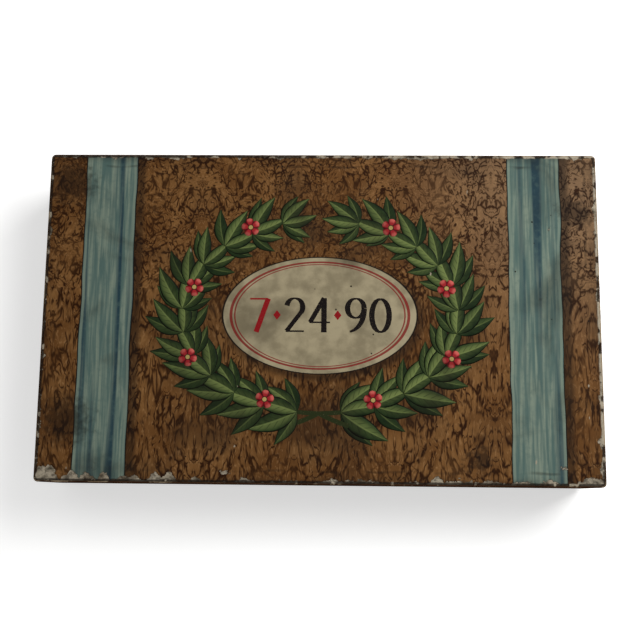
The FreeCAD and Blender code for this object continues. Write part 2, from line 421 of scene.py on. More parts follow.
class Wire:
    """An output in a node tree: a number, a colour or a place. Its methods add the nodes that follow it."""

    def __init__(self, socket: bpy.types.NodeSocket) -> None:
        """Keeps the output and its tree."""
        self.socket, self.tree = socket, socket.id_data

    def then(self, kind: str, inputs: dict[Any, Plug], output: str | int = 0, **settings: Any) -> Wire:
        """An output of a new node in the same tree."""
        return Wire(add_node(self.tree, kind, inputs, **settings).outputs[output])

    def math(self, operation: str, *others: Plug) -> Wire:
        """The result of a Math node on this number and others."""
        return self.then("ShaderNodeMath", dict(enumerate((self, *others))), operation=operation)

    def __add__(self, other: Plug) -> Wire:
        """The sum of two numbers."""
        return self.math("ADD", other)

    def __sub__(self, other: Plug) -> Wire:
        """The difference of two numbers."""
        return self.math("SUBTRACT", other)

    def __rsub__(self, other: float) -> Wire:
        """This number taken from a plain one."""
        return self.math("MULTIPLY_ADD", -1.0, other)

    def __mul__(self, other: Plug) -> Wire:
        """The product of two numbers."""
        return self.math("MULTIPLY", other)

    def __abs__(self) -> Wire:
        """The number without its sign."""
        return self.math("ABSOLUTE")

    def most(self, other: Plug) -> Wire:
        """The larger of two numbers."""
        return self.math("MAXIMUM", other)

    def least(self, other: Plug) -> Wire:
        """The smaller of two numbers."""
        return self.math("MINIMUM", other)

    def fold(self, period: float) -> Wire:
        """The number run to and fro between 0 and a period."""
        return self.math("PINGPONG", period)

    def lerp(self, low: float, high: float) -> Wire:
        """A number from 0 to 1 spread from low to high."""
        return self.math("MULTIPLY_ADD", high - low, low)

    def step(self, low: float, high: float) -> Wire:
        """A smooth step from 0 at low to 1 at high; with low above high, it falls."""
        inputs = {"Value": self, "From Min": low, "From Max": high}
        return self.then("ShaderNodeMapRange", inputs, "Result", interpolation_type="SMOOTHSTEP")

    def mix(self, first: Plug, second: Plug) -> Wire:
        """Two colours mixed, with this number as the share of the second."""
        return self.then("ShaderNodeMix", {0: self, 6: first, 7: second}, 2, data_type="RGBA")

    def joined(self, y: Plug, z: Plug) -> Wire:
        """A place with this number as its X."""
        return self.then("ShaderNodeCombineXYZ", {0: self, 1: y, 2: z})

    def split(self) -> tuple[Wire, ...]:
        """The X, Y and Z of a place."""
        parts = add_node(self.tree, "ShaderNodeSeparateXYZ", {0: self}).outputs
        return tuple(Wire(part) for part in parts)

    def vector(self, operation: str, other: Plug = ORIGIN, output: str = "Vector") -> Wire:
        """The result of a Vector Math node on this place and another."""
        return self.then("ShaderNodeVectorMath", {0: self, 1: other}, output, operation=operation)

    def stretch(self, x: float, y: float, z: float) -> Wire:
        """The place with each of its coordinates multiplied."""
        return self.vector("MULTIPLY", (x, y, z))

    def shift(self, offset: Plug) -> Wire:
        """The place moved by an offset."""
        return self.vector("ADD", offset)

    def length(self) -> Wire:
        """The place's distance from the origin."""
        return self.vector("LENGTH", output="Value")

    def distance(self, point: Sequence[float]) -> Wire:
        """The place's distance from a point."""
        return self.vector("DISTANCE", point, "Value")

    def inside(self, corner: Plug) -> tuple[Wire, ...]:
        """How far the place lies inside a box round the origin with this corner, along X, Y and Z."""
        return self.vector("ABSOLUTE").stretch(-1.0, -1.0, -1.0).shift(corner).split()

    def noise(self, size: float, detail: float = 2.0, distortion: float = 0.0) -> Wire:
        """Smooth noise from 0 to 1 at the place.

        Args:
            size: size of its features in millimetres.
            detail: number of finer layers.
            distortion: how far it is distorted.

        Returns:
            The noise's value.
        """
        inputs = {"Vector": self, "Scale": 1 / size, "Detail": detail, "Distortion": distortion}
        return self.then("ShaderNodeTexNoise", inputs, "Fac")

    def wander(self, size: float, reach: float) -> Wire:
        """The place moved about by noise.

        Args:
            size: size of the noise's features in millimetres.
            reach: how far the place moves, in millimetres.

        Returns:
            The moved place.
        """
        inputs = {"Vector": self, "Scale": 1 / size, "Detail": 1.0}
        noise = self.then("ShaderNodeTexNoise", inputs, "Color").shift((-0.5, -0.5, -0.5))
        return self.shift(noise.stretch(reach, reach, 0.0))

    def cells(self, size: float) -> tuple[Wire, Wire]:
        """Points scattered round the place, one to a cell.

        Args:
            size: size of a cell in millimetres.

        Returns:
            The distance to the nearest point in cells, and a random number for that point.
        """
        found = add_node(self.tree, "ShaderNodeTexVoronoi", {"Vector": self, "Scale": 1 / size}).outputs
        return Wire(found["Distance"]), Wire(found["Color"]).split()[0]

    def borders(self, size: float) -> Wire:
        """The place's distance to the nearest border of scattered cells, in cells."""
        inputs = {"Vector": self, "Scale": 1 / size}
        return self.then("ShaderNodeTexVoronoi", inputs, "Distance", feature="DISTANCE_TO_EDGE")


@dataclass
class Effect:
    """A node group that several finishes share, built when it is first placed."""

    name: str
    inputs: dict[str, Plug]  # with their usual values: a number, a place of three or a colour of four
    outputs: tuple[str, ...]  # Color is a colour, and any other is a number
    make: Callable[..., tuple[Wire, ...]]  # from the wires of the inputs to those of the outputs

    @functools.cached_property
    def group(self) -> bpy.types.NodeTree:
        """The node group.

        Returns:
            Its tree, with its inputs and outputs.
        """
        tree = bpy.data.node_groups.new(self.name, "ShaderNodeTree")
        kinds = {1: "NodeSocketFloat", 3: "NodeSocketVector", 4: "NodeSocketColor"}
        for key, value in self.inputs.items():
            kind = kinds[np.size(value)]
            tree.interface.new_socket(name=key, in_out="INPUT", socket_type=kind).default_value = value
        for key in self.outputs:
            kind = kinds[4 if key == "Color" else 1]
            tree.interface.new_socket(name=key, in_out="OUTPUT", socket_type=kind)
        given = tree.nodes.new("NodeGroupInput").outputs
        made = self.make(*(Wire(given[key]) for key in self.inputs))
        add_node(tree, "NodeGroupOutput", dict(zip(self.outputs, made)))
        return tree

    def put(self, tree: bpy.types.NodeTree, **values: Plug) -> list[Wire]:
        """Places the group in a tree, feeds its inputs and gives its outputs."""
        node = add_node(tree, "ShaderNodeGroup", values, node_tree=self.group)
        return [Wire(output) for output in node.outputs]


def paper_fibre(place: Wire) -> tuple[Wire, Wire]:
    """Cloudy tone and fine felted fibres of paper and board.

    Args:
        place: the place on the piece.

    Returns:
        The tone and the relief, from 0 to 1.
    """
    fibre = place.stretch(1.0, 2.6, 1.6).noise(0.9, 3.0, 1.2)
    return place.noise(7.0, 3.0) * 0.55 + fibre * 0.45, fibre


def handling_marks(colour: Wire, place: Wire, grime: Wire, specks: Wire, nicks: Wire) -> tuple[Wire]:
    """Marks of age and use: grime in clouds, dark pin specks and short pale nicks.

    Args:
        colour: the colour under them.
        place: the place on the piece.
        grime, specks, nicks: strength of each mark.

    Returns:
        The marked colour.
    """
    cloud = place.noise(31.0, 5.0, 0.6).step(0.46, 0.74)
    smear = place.noise(3.4, 4.0, 0.4).step(0.5, 0.8)
    dirt = (cloud * 0.62).most(smear * cloud * 1.1)
    near, pick = place.cells(8.5)
    speck = near.step(0.062, 0.035) * pick.step(0.7, 0.72)
    near, pick = place.stretch(1.0, 0.35, 1.0).shift(place.noise(6.0, 1.0) * 3.0).cells(6.0)
    nick = near.step(0.07, 0.04) * pick.step(0.78, 0.79)
    colour = (speck * specks).mix((dirt * grime).mix(colour, GRIME), SPECK)
    return ((nick * nicks).mix(colour, NICK),)


def rubbed_edges(place: Wire, corner: Wire, low: Wire, reach: Wire) -> tuple[Wire]:
    """Rubbed upright corners and rims of a box, in uneven stretches.

    Args:
        place: the place on the box.
        corner: its upper corner, from the middle of its foot.
        low: height of its lower rim.
        reach: how far the rubbing goes.

    Returns:
        A mask, 1 where the paper is rubbed through.
    """
    from_x, from_y, from_top = place.inside(corner)
    _, _, z = place.split()
    upright = from_x.most(from_y) * 0.4
    near = upright.least((z - low).least(from_top))
    stretch = place.noise(36.0, 2.0).step(0.42, 0.62).lerp(-1.5, 0.5)
    stretch = stretch.most(upright.step(8.0, 1.0).lerp(-1.5, 0.2))
    uneven = place.noise(8.5, 6.0).lerp(-2.6, 3.4) + stretch
    return ((near - uneven * reach).step(0.05, -0.4),)


def pale_stretches(place: Wire) -> tuple[Wire]:
    """Pale stretches of the lid's upper rim, partly worn board and partly painted highlight: most of its
    right side and of the right half of its back, which face the light.

    Elsewhere only the highest parts of the same noise are pale.

    Args:
        place: the place on the lid.

    Returns:
        A mask, 1 where the rim is worn pale or painted as lit.
    """
    x, y, _ = place.split()
    # the right side and the back face the light: a painted highlight on top of their wear
    side = x.step(-30.0, 20.0) * y.step(-74.0, -62.0)
    return ((side * 0.16 + place.noise(4.6, 6.0)).step(0.59, 0.66),)


def turned_grain(place: Wire) -> tuple[Wire, Wire]:
    """Grain on the end of a turned rod: growth rings round a pith that lies aside, with fine pores.

    Args:
        place: the place on the end, with a number of the piece's own as its Z.

    Returns:
        The tone and the relief, from 0 to 1.
    """
    _, _, piece = place.split()
    pith = (piece * 2.3).math("SINE") * 11.0
    radius = place.wander(5.0, 1.1).shift(pith.joined(-9.0, 0.0)).stretch(1.0, 1.0, 0.0).length()
    ring = (radius * 1.5).fold(0.5).step(0.05, 0.45)
    pore = place.noise(0.32, 2.0).step(0.56, 0.7)
    return ring * 0.16 + place.noise(4.0, 3.0) * 0.84 - pore * 0.12, ring * 0.4 - pore


FIBRE = Effect("paper fibre", {"Place": ORIGIN}, ("Tone", "Height"), paper_fibre)
MARKS = Effect(
    "handling marks",
    {"Color": WHITE, "Place": ORIGIN, "Grime": 1.0, "Specks": 1.0, "Nicks": 1.0},
    ("Color",),
    handling_marks,
)
RUBBED = Effect(
    "rubbed edges", {"Place": ORIGIN, "Corner": ORIGIN, "Low": 0.0, "Reach": 1.0}, ("Mask",), rubbed_edges
)
PALE_AND_LIT_RIM = Effect("pale rim", {"Place": ORIGIN}, ("Mask",), pale_stretches)
GRAIN = Effect("end grain", {"Place": ORIGIN}, ("Tone", "Height"), turned_grain)


class Finish:
    """A material with a plain shader, which each finish paints in its own way."""

    name: str
    specular: float

    def __post_init__(self) -> None:
        """Starts the material, finds the place on the piece in millimetres, and paints."""
        self.material = bpy.data.materials.new(self.name)
        self.material.use_nodes = True
        self.tree = self.material.node_tree
        self.tree.nodes.clear()
        self.shader = add_node(self.tree, "ShaderNodeBsdfPrincipled", {"Specular IOR Level": self.specular})
        add_node(self.tree, "ShaderNodeOutputMaterial", {"Surface": Wire(self.shader.outputs[0])})
        self.place = self.read("ShaderNodeTexCoord", "Object").stretch(1 / MM, 1 / MM, 1 / MM)
        self.paint()

    def paint(self) -> None:
        """Works out the colour, the roughness and the relief."""
        raise NotImplementedError

    def read(self, kind: str, output: str | int = 0, **settings: Any) -> Wire:
        """An output of a node that needs no input."""
        return Wire(add_node(self.tree, kind, **settings).outputs[output])

    def attribute(self, name: str) -> Wire:
        """A value that the mesh's points carry."""
        return self.read("ShaderNodeAttribute", "Fac", attribute_name=name)

    def pattern(self) -> Wire:
        """The place on the piece's own UV map."""
        return self.read("ShaderNodeUVMap", uv_map="Pattern")

    def fibre(self) -> list[Wire]:
        """The tone and the relief of paper."""
        return FIBRE.put(self.tree, Place=self.place)

    def aged(
        self, colour: Wire, grime: float, specks: float = 1.0, nicks: float = 1.0, place: Wire | None = None
    ) -> Wire:
        """A colour under marks of age and use.

        Args:
            colour: the colour.
            grime, specks, nicks: strength of each mark.
            place: where the marks are read, if not at the place on the piece.

        Returns:
            The marked colour.
        """
        place = self.place if place is None else place
        return MARKS.put(self.tree, Color=colour, Place=place, Grime=grime, Specks=specks, Nicks=nicks)[0]

    def coat(self, colour: Plug, roughness: Plug, height: Wire | None = None, depth_mm: float = 0.1) -> None:
        """Feeds the shader.

        Args:
            colour: base colour.
            roughness: roughness.
            height: relief from 0 to 1, or None for a flat surface.
            depth_mm: depth of the relief in millimetres.
        """
        feed(self.shader.inputs["Base Color"], colour)
        feed(self.shader.inputs["Roughness"], roughness)
        if height is not None:
            bump = height.then("ShaderNodeBump", {"Height": height, "Distance": depth_mm * MM})
            feed(self.shader.inputs["Normal"], bump)


def background_rays(tree: bpy.types.NodeTree) -> Wire:
    """1 for the rays that show the background: the camera's, and those off or through shiny surfaces.

    Args:
        tree: the tree of a world or a material.

    Returns:
        The number.
    """
    ray = add_node(tree, "ShaderNodeLightPath").outputs
    kinds = ("Is Camera Ray", "Is Glossy Ray", "Is Transmission Ray")
    return functools.reduce(Wire.most, [Wire(ray[kind]) for kind in kinds])


@dataclass
class FloorWhite(Finish):
    """Plain white that keeps the box's shadow and fades into the white surround."""

    white: Colour = (0.86, 0.86, 0.85, 1.0)
    glow_near: float = 0.45
    fade_from_mm: float = 250.0
    fade_to_mm: float = 1100.0
    name = "floor white"
    specular = 0.0

    def paint(self) -> None:
        """Lets the background's rays see the floor brighter, the more so the further away it is."""
        away = self.place.stretch(1.0, 1.0, 0.0).length()
        glow = away.step(self.fade_from_mm, self.fade_to_mm).lerp(self.glow_near, 1.0)
        feed(self.shader.inputs["Emission Strength"], background_rays(self.tree) * glow)
        self.shader.inputs["Emission Color"].default_value = WHITE
        self.coat(self.white, 0.9)


@dataclass
class Studio:
    """Pale floor, soft light and the camera."""

    image_pixels: float = 640.0
    focal_pixels: float = 1023.6
    sensor_mm: float = 36.0
    distance: float = 0.4794
    elevation: float = math.radians(80.077)
    azimuth: float = math.radians(9.166)
    roll: float = math.radians(-8.648)
    aim: tuple[float, float] = (0.00017, -0.00231)
    surround: float = 0.32  # strength of the even light
    floor_half: float = 4.0

    def camera(self, height: float) -> None:
        """Places the camera as the photograph was taken.

        Args:
            height: height of the lid's top, at which the camera aims.
        """
        target = Vector((*self.aim, height))
        flat, up = math.cos(self.elevation), math.sin(self.elevation)
        back = Vector((flat * math.sin(self.azimuth), -flat * math.cos(self.azimuth), up))
        right = Vector((0, 0, 1)).cross(back).normalized()
        turn = Matrix.Rotation(self.roll, 3, back)
        axes = Matrix((turn @ right, turn @ back.cross(right), back)).transposed()
        data = bpy.data.cameras.new("camera")
        data.sensor_width = self.sensor_mm
        data.lens = self.focal_pixels * self.sensor_mm / self.image_pixels
        data.clip_start = 0.01
        camera = show("camera", data)
        camera.matrix_world = Matrix.Translation(target + self.distance * back) @ axes.to_4x4()
        bpy.context.scene.camera = camera

    def lamp(self, name: str, place: Sequence[float], size: float, watts: float) -> None:
        """Adds a square soft light that points at the box.

        Args:
            name: the light's name.
            place: where it stands.
            size: its side.
            watts: its power.
        """
        data = bpy.data.lights.new(name, "AREA")
        data.size = size
        data.energy = watts
        lamp = show(name, data)
        lamp.location = place
        lamp.rotation_mode = "QUATERNION"
        lamp.rotation_quaternion = (-Vector(place)).to_track_quat("-Z", "Y")

    def world(self) -> None:
        """A dim even surround that the camera sees as white."""
        world = bpy.data.worlds.new("surround")
        world.use_nodes = True
        tree = world.node_tree
        tree.nodes.clear()
        seen = background_rays(tree)
        light, white = (
            seen.then("ShaderNodeBackground", {"Color": WHITE, "Strength": strength})
            for strength in (self.surround, 1.0)
        )
        mixed = seen.then("ShaderNodeMixShader", {0: seen, 1: light, 2: white})
        add_node(tree, "ShaderNodeOutputWorld", {"Surface": mixed})
        bpy.context.scene.world = world

    def floor(self) -> None:
        """A wide square floor."""
        corners = self.floor_half * np.array(((-1.0, -1, 0), (1, -1, 0), (1, 1, 0), (-1, 1, 0)))
        square = Surface(corners, [np.array([[0, 1, 2, 3]])])
        show("floor", square.mesh("floor", False, FloorWhite().material))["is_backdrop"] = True

    def build(self, height: float) -> None:
        """Sets up the camera, the lights and the floor.

        Args:
            height: height of the lid's top.
        """
        bpy.context.scene.view_settings.view_transform = "Standard"
        self.camera(height)
        self.lamp("key light", (0.36, 0.24, 0.5), size=0.4, watts=4.3)
        self.lamp("fill light", (-0.7, -0.6, 0.8), size=0.8, watts=1.5)
        self.world()
        self.floor()


class Ink(enum.Enum):
    """Inks of the numerals, the stems and the tinted blocks, with their colours."""

    BLACK = srgb(18, 14, 13)
    RED = srgb(122, 20, 24)
    STEM = srgb(34, 40, 20)
    TINT = srgb(120, 62, 46)


# Strokes of each numeral in a box one unit high: a straight stroke is (x, y, x, y) from end to end, and a
# curved one is (middle x, middle y, half width, half height, first angle, last angle) in degrees.
NUMERALS: dict[str, tuple[tuple[float, ...], ...]] = {
    "0": ((0.31, 0.5, 0.24, 0.46, 90, 450),),
    "1": ((0.32, 0.98, 0.32, 0.02), (0.32, 0.96, 0.15, 0.82), (0.16, 0.03, 0.48, 0.03)),
    "2": ((0.3, 0.72, 0.22, 0.25, 170, -38), (0.47, 0.57, 0.08, 0.05), (0.06, 0.05, 0.56, 0.05)),
    "3": ((0.28, 0.76, 0.2, 0.21, 160, -90), (0.28, 0.29, 0.24, 0.26, 90, -155)),
    "4": ((0.43, 0.02, 0.43, 0.98), (0.43, 0.98, 0.05, 0.3), (0.03, 0.3, 0.6, 0.3)),
    "5": ((0.52, 0.95, 0.16, 0.95), (0.16, 0.96, 0.13, 0.54), (0.28, 0.32, 0.25, 0.29, 132, -150)),
    "6": ((0.31, 0.3, 0.23, 0.27, 0, 360), (0.54, 0.34, 0.46, 0.62, 182, 98)),
    "7": ((0.06, 0.95, 0.56, 0.95), (0.56, 0.96, 0.24, 0.02)),
    "8": ((0.31, 0.75, 0.18, 0.22, 0, 360), (0.31, 0.28, 0.23, 0.26, 0, 360)),
    "9": ((0.31, 0.7, 0.23, 0.27, 0, 360), (0.08, 0.66, 0.46, 0.62, 2, -82)),
}
NUMERAL_STEP = 0.68  # from one numeral to the next, in heights
NUMERAL_WIDTH = 0.62
NIB = 0.15  # width of a stroke that runs up or down, in heights
LARGE_THIN = 0.045  # width of a stroke that runs across in a large number, in heights
SMALL_THIN = 0.085
STROKE_LIFT = 0.04  # of one stroke above the one before, as a share of the ink's height


def flat_strip(path: Array, width: Array, low: float, high: float) -> Surface:
    """A flat closed strip along a path, with a rectangular section.

    Args:
        path: points of its middle line in a plane.
        width: its width at each of them.
        low, high: heights of its underside and of its top.

    Returns:
        The closed strip.
    """
    along = np.gradient(path, axis=0)
    along /= np.maximum(np.linalg.norm(along, axis=1, keepdims=True), TINY)
    side = np.column_stack((-along[:, 1], along[:, 0])) * width[:, None] / 2
    edges = ((path + side, high), (path - side, high), (path - side, low), (path + side, low))
    ring = [np.column_stack((edge, np.full(len(path), z))) for edge, z in edges]
    last = 4 * (len(path) - 1)
    caps = np.array(((3, 2, 1, 0), (last, last + 1, last + 2, last + 3)))
    points = np.stack(ring, axis=1).reshape(-1, 3)
    return Surface(points, [grid_quads(len(path), 4, close_columns=True), caps])


def stroke_path(stroke: Sequence[float], steps: int = 0) -> Array:
    """Points along one stroke of a numeral: a straight run, or an ellipse from angle to angle.

    Args:
        stroke: the stroke as NUMERALS gives it.
        steps: number of points on a curve.

    Returns:
        Points in the numeral's box.
    """
    if len(stroke) == 4:
        return np.linspace(stroke[:2], stroke[2:], 3)
    x, y, half_x, half_y, first, last = stroke
    angle = np.radians(np.linspace(first, last, steps))
    return np.column_stack((x + half_x * np.cos(angle), y + half_y * np.sin(angle)))


def number_width(text: str) -> float:
    """Width of a number, in heights of its numerals."""
    return NUMERAL_STEP * (len(text) - 1) + NUMERAL_WIDTH


def number_strokes(
    text: str, height: float, low: float, high: float, steps: int, thin: float
) -> list[Surface]:
    """A number written with a broad nib, thick where a stroke runs up or down and thin where it runs across.

    Args:
        text: the number.
        height: height of its numerals.
        low, high: heights of the ink's underside and of its top.
        steps: points on a curved stroke.
        thin: width of a stroke that runs across, in heights.

    Returns:
        One strip for each stroke, round the origin.
    """
    strokes = []
    start = -number_width(text) / 2
    for index, numeral in enumerate(text):
        for stroke in NUMERALS[numeral]:
            path = stroke_path(stroke, steps)
            along = np.gradient(path, axis=0)
            upright = np.abs(along[:, 1]) / np.maximum(np.linalg.norm(along, axis=1), TINY)
            width = thin + (NIB - thin) * upright**1.5
            place = (path + (start + NUMERAL_STEP * index, -0.5)) * height
            lift = STROKE_LIFT * (high - low) * len(strokes)
            strokes.append(flat_strip(place, width * height, low, high + lift))
    return strokes


@dataclass(frozen=True)
class PrintLayout:
    """Where the design on the lid's sheet lies, in millimetres from the middle of the lid."""

    band_middle_mm: float = 101.0  # of each of the two bands, along X
    band_half_mm: float = 12.5
    panel_mm: tuple[float, float] = (46.0, 28.0)  # half of the oval panel's length and width
    wreath_mm: tuple[float, float] = (65.0, 46.0)  # and of the wreath round it
    sheet_mm: tuple[float, float] = (130.4, 77.9)  # and of the sheet
    top_mm: float = 45.0  # height of the sheet
    lip_mm: float = 5.4  # from the sheet's edge to that of the paper turned over the board under it
    shadow_x_mm: float = 1.3  # how far the painted shadows fall
    shadow_y_mm: float = -1.7
    mirror_mm: float = 46.0  # the veins repeat as a mirror image at this distance
    faded_corner_mm: tuple[float, float] = (131.0, 78.0)
    soot_mm: tuple[tuple[float, float, float], ...] = (  # places along X and Y, and how far the soot reaches
        (121.0, 50.0, 11.0), (-118.0, -50.0, 17.0), (74.0, -67.0, 9.0), (-120.0, 64.0, 15.0),
    )


@dataclass
class PrintedPaper(Finish):
    """Printed sheet on the lid: veined brown paper with two blue bands and an oval cream panel."""

    layout: PrintLayout
    tan: Colour = srgb(115, 81, 46)
    bright: Colour = srgb(146, 110, 72)
    shade: Colour = srgb(88, 57, 28)
    vein: Colour = srgb(36, 17, 5)
    band_dark: Colour = srgb(34, 54, 62)
    band_mid: Colour = srgb(72, 92, 87)
    band_pale: Colour = srgb(112, 124, 110)
    cream: Colour = srgb(150, 139, 112)
    cream_shade: Colour = srgb(122, 112, 89)
    rule: Colour = srgb(112, 26, 26)
    line: Colour = srgb(20, 15, 12)
    soot: Colour = srgb(22, 16, 12)
    torn: Colour = srgb(82, 72, 58)
    torn_pale: Colour = srgb(154, 144, 126)
    faded: Colour = srgb(130, 109, 86)
    name = "printed paper"
    specular = 0.03

    def ground(self) -> Wire:
        """Tan paper with dark veins: the borders of warped cells and the contour lines of a mirrored noise.

        The tan under the veins has faded towards one corner.

        Returns:
            The ground's colour.
        """
        place = self.place
        x, y, _ = place.split()
        drawn_out = (y - 12.0).most(0.0) * 0.42 + y * 0.34
        spot = (x + 11.0).fold(self.layout.mirror_mm).joined(drawn_out, 4.0).wander(11.0, 7.0)
        fine = spot.wander(1.5, 1.7)
        border = fine.borders(2.9)
        net = border.step(0.2, 0.02) * spot.noise(2.8).step(0.44, 0.54)
        contour = (fine.noise(5.4, 1.0) * 9.0).fold(0.5)
        wave = contour.step(0.2, 0.03) * fine.noise(2.6).step(0.43, 0.52)
        vein = net.most(wave) * place.noise(21.0, 3.0).step(0.2, 0.6).lerp(0.55, 1.0)
        halo = border.step(0.42, 0.05) * spot.noise(2.6).step(0.3, 0.6) * 0.5
        tone = place.noise(19.0, 5.0, 0.5).step(0.34, 0.7)
        colour = halo.mix(tone.mix(self.shade, self.tan), self.shade)
        fleck = fine.stretch(1.0, 0.7, 1.0).noise(0.6)
        colour = (fleck.step(0.5, 0.7) * 0.45).mix(colour, self.shade)
        colour = (fleck.step(0.46, 0.3) * 0.4).mix(colour, self.bright)
        corner = (*self.layout.faded_corner_mm, self.layout.top_mm)
        pale = place.distance(corner).step(120.0, 20.0) * 0.45
        return vein.mix(pale.mix(colour, self.faded), self.vein)

    def oval(self, place: Wire, half_mm: tuple[float, float]) -> Wire:
        """Distance from an oval's edge, in millimetres along Y, positive outside.

        Args:
            place: the place, from the oval's middle.
            half_mm: half of the oval's length and width.

        Returns:
            The distance.
        """
        half_x, half_y = half_mm
        return place.stretch(1 / half_x, 1 / half_y, 0.0).length() * half_y - half_y

    def shadows(self, colour: Wire) -> Wire:
        """Darkens the ground where the bands, the panel and the wreath seem to stand proud of it.

        Args:
            colour: the ground's colour.

        Returns:
            The darkened colour.
        """
        layout = self.layout
        fallen = self.place.shift((-layout.shadow_x_mm, -layout.shadow_y_mm, 0.0))
        wreath = abs(self.oval(fallen, layout.wreath_mm)).step(14.0, 3.0) * 0.5
        shadow = self.oval(fallen, layout.panel_mm).step(2.8, -0.5).most(wreath)
        x, _, _ = self.place.split()
        edge = layout.band_half_mm
        for middle in (-layout.band_middle_mm, layout.band_middle_mm):
            past = abs(x - (middle + 3 * layout.shadow_x_mm))
            shadow = shadow.most(past.step(edge + 1.6, edge - 1.6))
        return (shadow * 0.66).mix(colour, self.line)

    def bands(self, colour: Wire) -> Wire:
        """Lays the two blue bands over the ground, streaked from front to back like satin.

        Args:
            colour: the colour under them.

        Returns:
            The colour with the bands.
        """
        place, half = self.place, self.layout.band_half_mm
        x, _, _ = place.wander(26.0, 2.4).split()
        out = abs(abs(x) - self.layout.band_middle_mm)
        fold = place.stretch(1.0, 0.02, 0.0).noise(5.5, 2.0, 0.3)
        streak = place.stretch(1.0, 0.05, 0.0).noise(1.5, 3.0, 0.5)
        cloth = streak.step(0.34, 0.7).mix(self.band_mid, self.band_pale)
        cloth = fold.step(0.5, 0.68).mix(cloth, self.band_dark)
        cloth = (place.noise(3.0, 3.0).step(0.45, 0.75) * 0.4).mix(cloth, self.band_mid)
        rim = out.step(half - 2.2, half - 1.5) * out.step(half - 0.5, half - 0.9)
        cloth = (rim * 0.6).mix(cloth, self.band_pale)
        cloth = out.step(half - 0.6, half - 0.35).mix(cloth, self.line)
        return out.step(half + 0.1, half - 0.1).mix(colour, cloth)

    def panel(self, colour: Wire) -> Wire:
        """Lays the cream panel over the ground, with a dark outline and two red rules inside it.

        Args:
            colour: the colour under it.

        Returns:
            The colour with the panel.
        """
        inside = self.oval(self.place, self.layout.panel_mm) * -1.0
        card = self.place.noise(8.0, 5.0).step(0.34, 0.66).mix(self.cream_shade, self.cream)
        for depth, width in ((2.6, 0.35), (3.7, 0.14)):
            card = (abs(inside - depth).step(width + 0.12, width) * 0.9).mix(card, self.rule)
        card = inside.step(0.55, 0.35).mix(card, self.line)
        return inside.step(-0.1, 0.1).mix(colour, card)

    def inset(self, place: Wire) -> Wire:
        """Distance from the nearest side of the sheet, in millimetres."""
        from_x, from_y, _ = place.inside((*self.layout.sheet_mm, 0.0))
        return from_x.least(from_y)

    def soiled(self, colour: Wire) -> Wire:
        """Adds soot in a few places, and the dirt that has caught over the edge of the paper underneath.

        Args:
            colour: the print's colour.

        Returns:
            The soiled colour.
        """
        place, lip = self.place, self.layout.lip_mm
        inset = self.inset(place.wander(12.0, 2.6))
        patchy = place.noise(14.0, 4.0)
        ridge = abs(inset - lip).step(1.0, 0.1) * patchy.step(0.42, 0.66) * 0.5
        dirt = ridge.most(inset.step(lip, 0.0) * patchy.step(0.3, 0.65) * 0.5)
        ragged = place.noise(2.6, 5.0).lerp(9.0, -9.0)
        for x, y, reach in self.layout.soot_mm:
            away = place.distance((x, y, self.layout.top_mm)) + ragged
            dirt = dirt.most(away.step(reach, reach * 0.25) * 0.7)
        return dirt.mix(colour, self.soot)

    def paint(self) -> None:
        """Lays the design on the ground, ages it, bares the board where the sheet is worn through, and paints
        the rim with soot and with pale stretches that are partly worn board and partly painted highlight.
        """
        place = self.place
        colour = self.panel(self.bands(self.shadows(self.ground())))
        colour = self.aged(self.soiled(colour), 0.8)
        tone, fibre = self.fibre()
        ragged = place.noise(1.5, 3.0).lerp(-1.1, 1.1) + place.noise(0.45).lerp(-0.4, 0.4)
        wear = self.attribute("wear") + ragged
        bare = wear.step(-0.06, 0.08)
        fray = wear.step(-0.5, -0.05) * (1.0 - bare)
        board = tone.step(0.36, 0.62).mix(self.torn, self.torn_pale)
        dirt = place.noise(2.1, 6.0, 0.4).step(0.42, 0.7)
        board = (dirt * 0.7).mix(board, self.soot)
        colour = bare.mix((fray * 0.45).mix(colour, self.vein), board)
        # outermost millimetre of the sheet: soot, except along the pale stretches, which are partly worn
        # board and partly painted highlight where the rim faces the light
        rim = self.inset(place.wander(3.0, 0.7)).step(1.4, 0.7)
        pale, = PALE_AND_LIT_RIM.put(self.tree, Place=place)
        edge = pale.mix(self.soot, tone.step(0.3, 0.54).mix(self.torn, self.torn_pale))
        colour = (rim * 0.85).mix(colour, edge)
        self.coat(colour, bare.lerp(0.55, 0.9), fibre * 0.35 + bare * -0.6, 0.12)


@dataclass
class LeafPrint(Finish):
    """Printed leaf: two halves of green along a pale rib, with side veins and a dark outline."""

    dark: Colour = srgb(17, 29, 15)
    mid: Colour = srgb(44, 60, 31)
    light: Colour = srgb(104, 116, 66)
    line: Colour = srgb(9, 12, 7)
    name = "leaf print"
    specular = 0.03

    def paint(self) -> None:
        """Mixes the greens along and across each leaf, by the leaf's own tone."""
        along, across, _ = self.pattern().split()
        side, tone = abs(across), self.attribute("tone")
        half = across.step(-0.12, 0.12)
        cloud = self.place.noise(4.2, 3.0, 0.6).step(0.36, 0.66)
        colour = ((half * 0.5 + cloud * 0.5) * tone.lerp(0.4, 1.0)).mix(self.dark, self.mid)
        glow = side.step(0.95, 0.2) * half.lerp(0.2, 0.85) * tone
        colour = glow.mix(colour, self.light)
        ribs = ((side * -0.22 + along) * 7.0).fold(0.5).step(0.36, 0.46)
        colour = (ribs * side.step(0.9, 0.3) * 0.5).mix(colour, self.dark)
        rib = side.step(0.12, 0.05) * along.step(0.98, 0.8)
        colour = (rib * tone.lerp(0.25, 0.85)).mix(colour, self.light)
        colour = side.step(0.8, 0.93).mix(colour, self.line)
        self.coat(self.aged(colour, 0.8), 0.55, self.fibre()[1], 0.04)


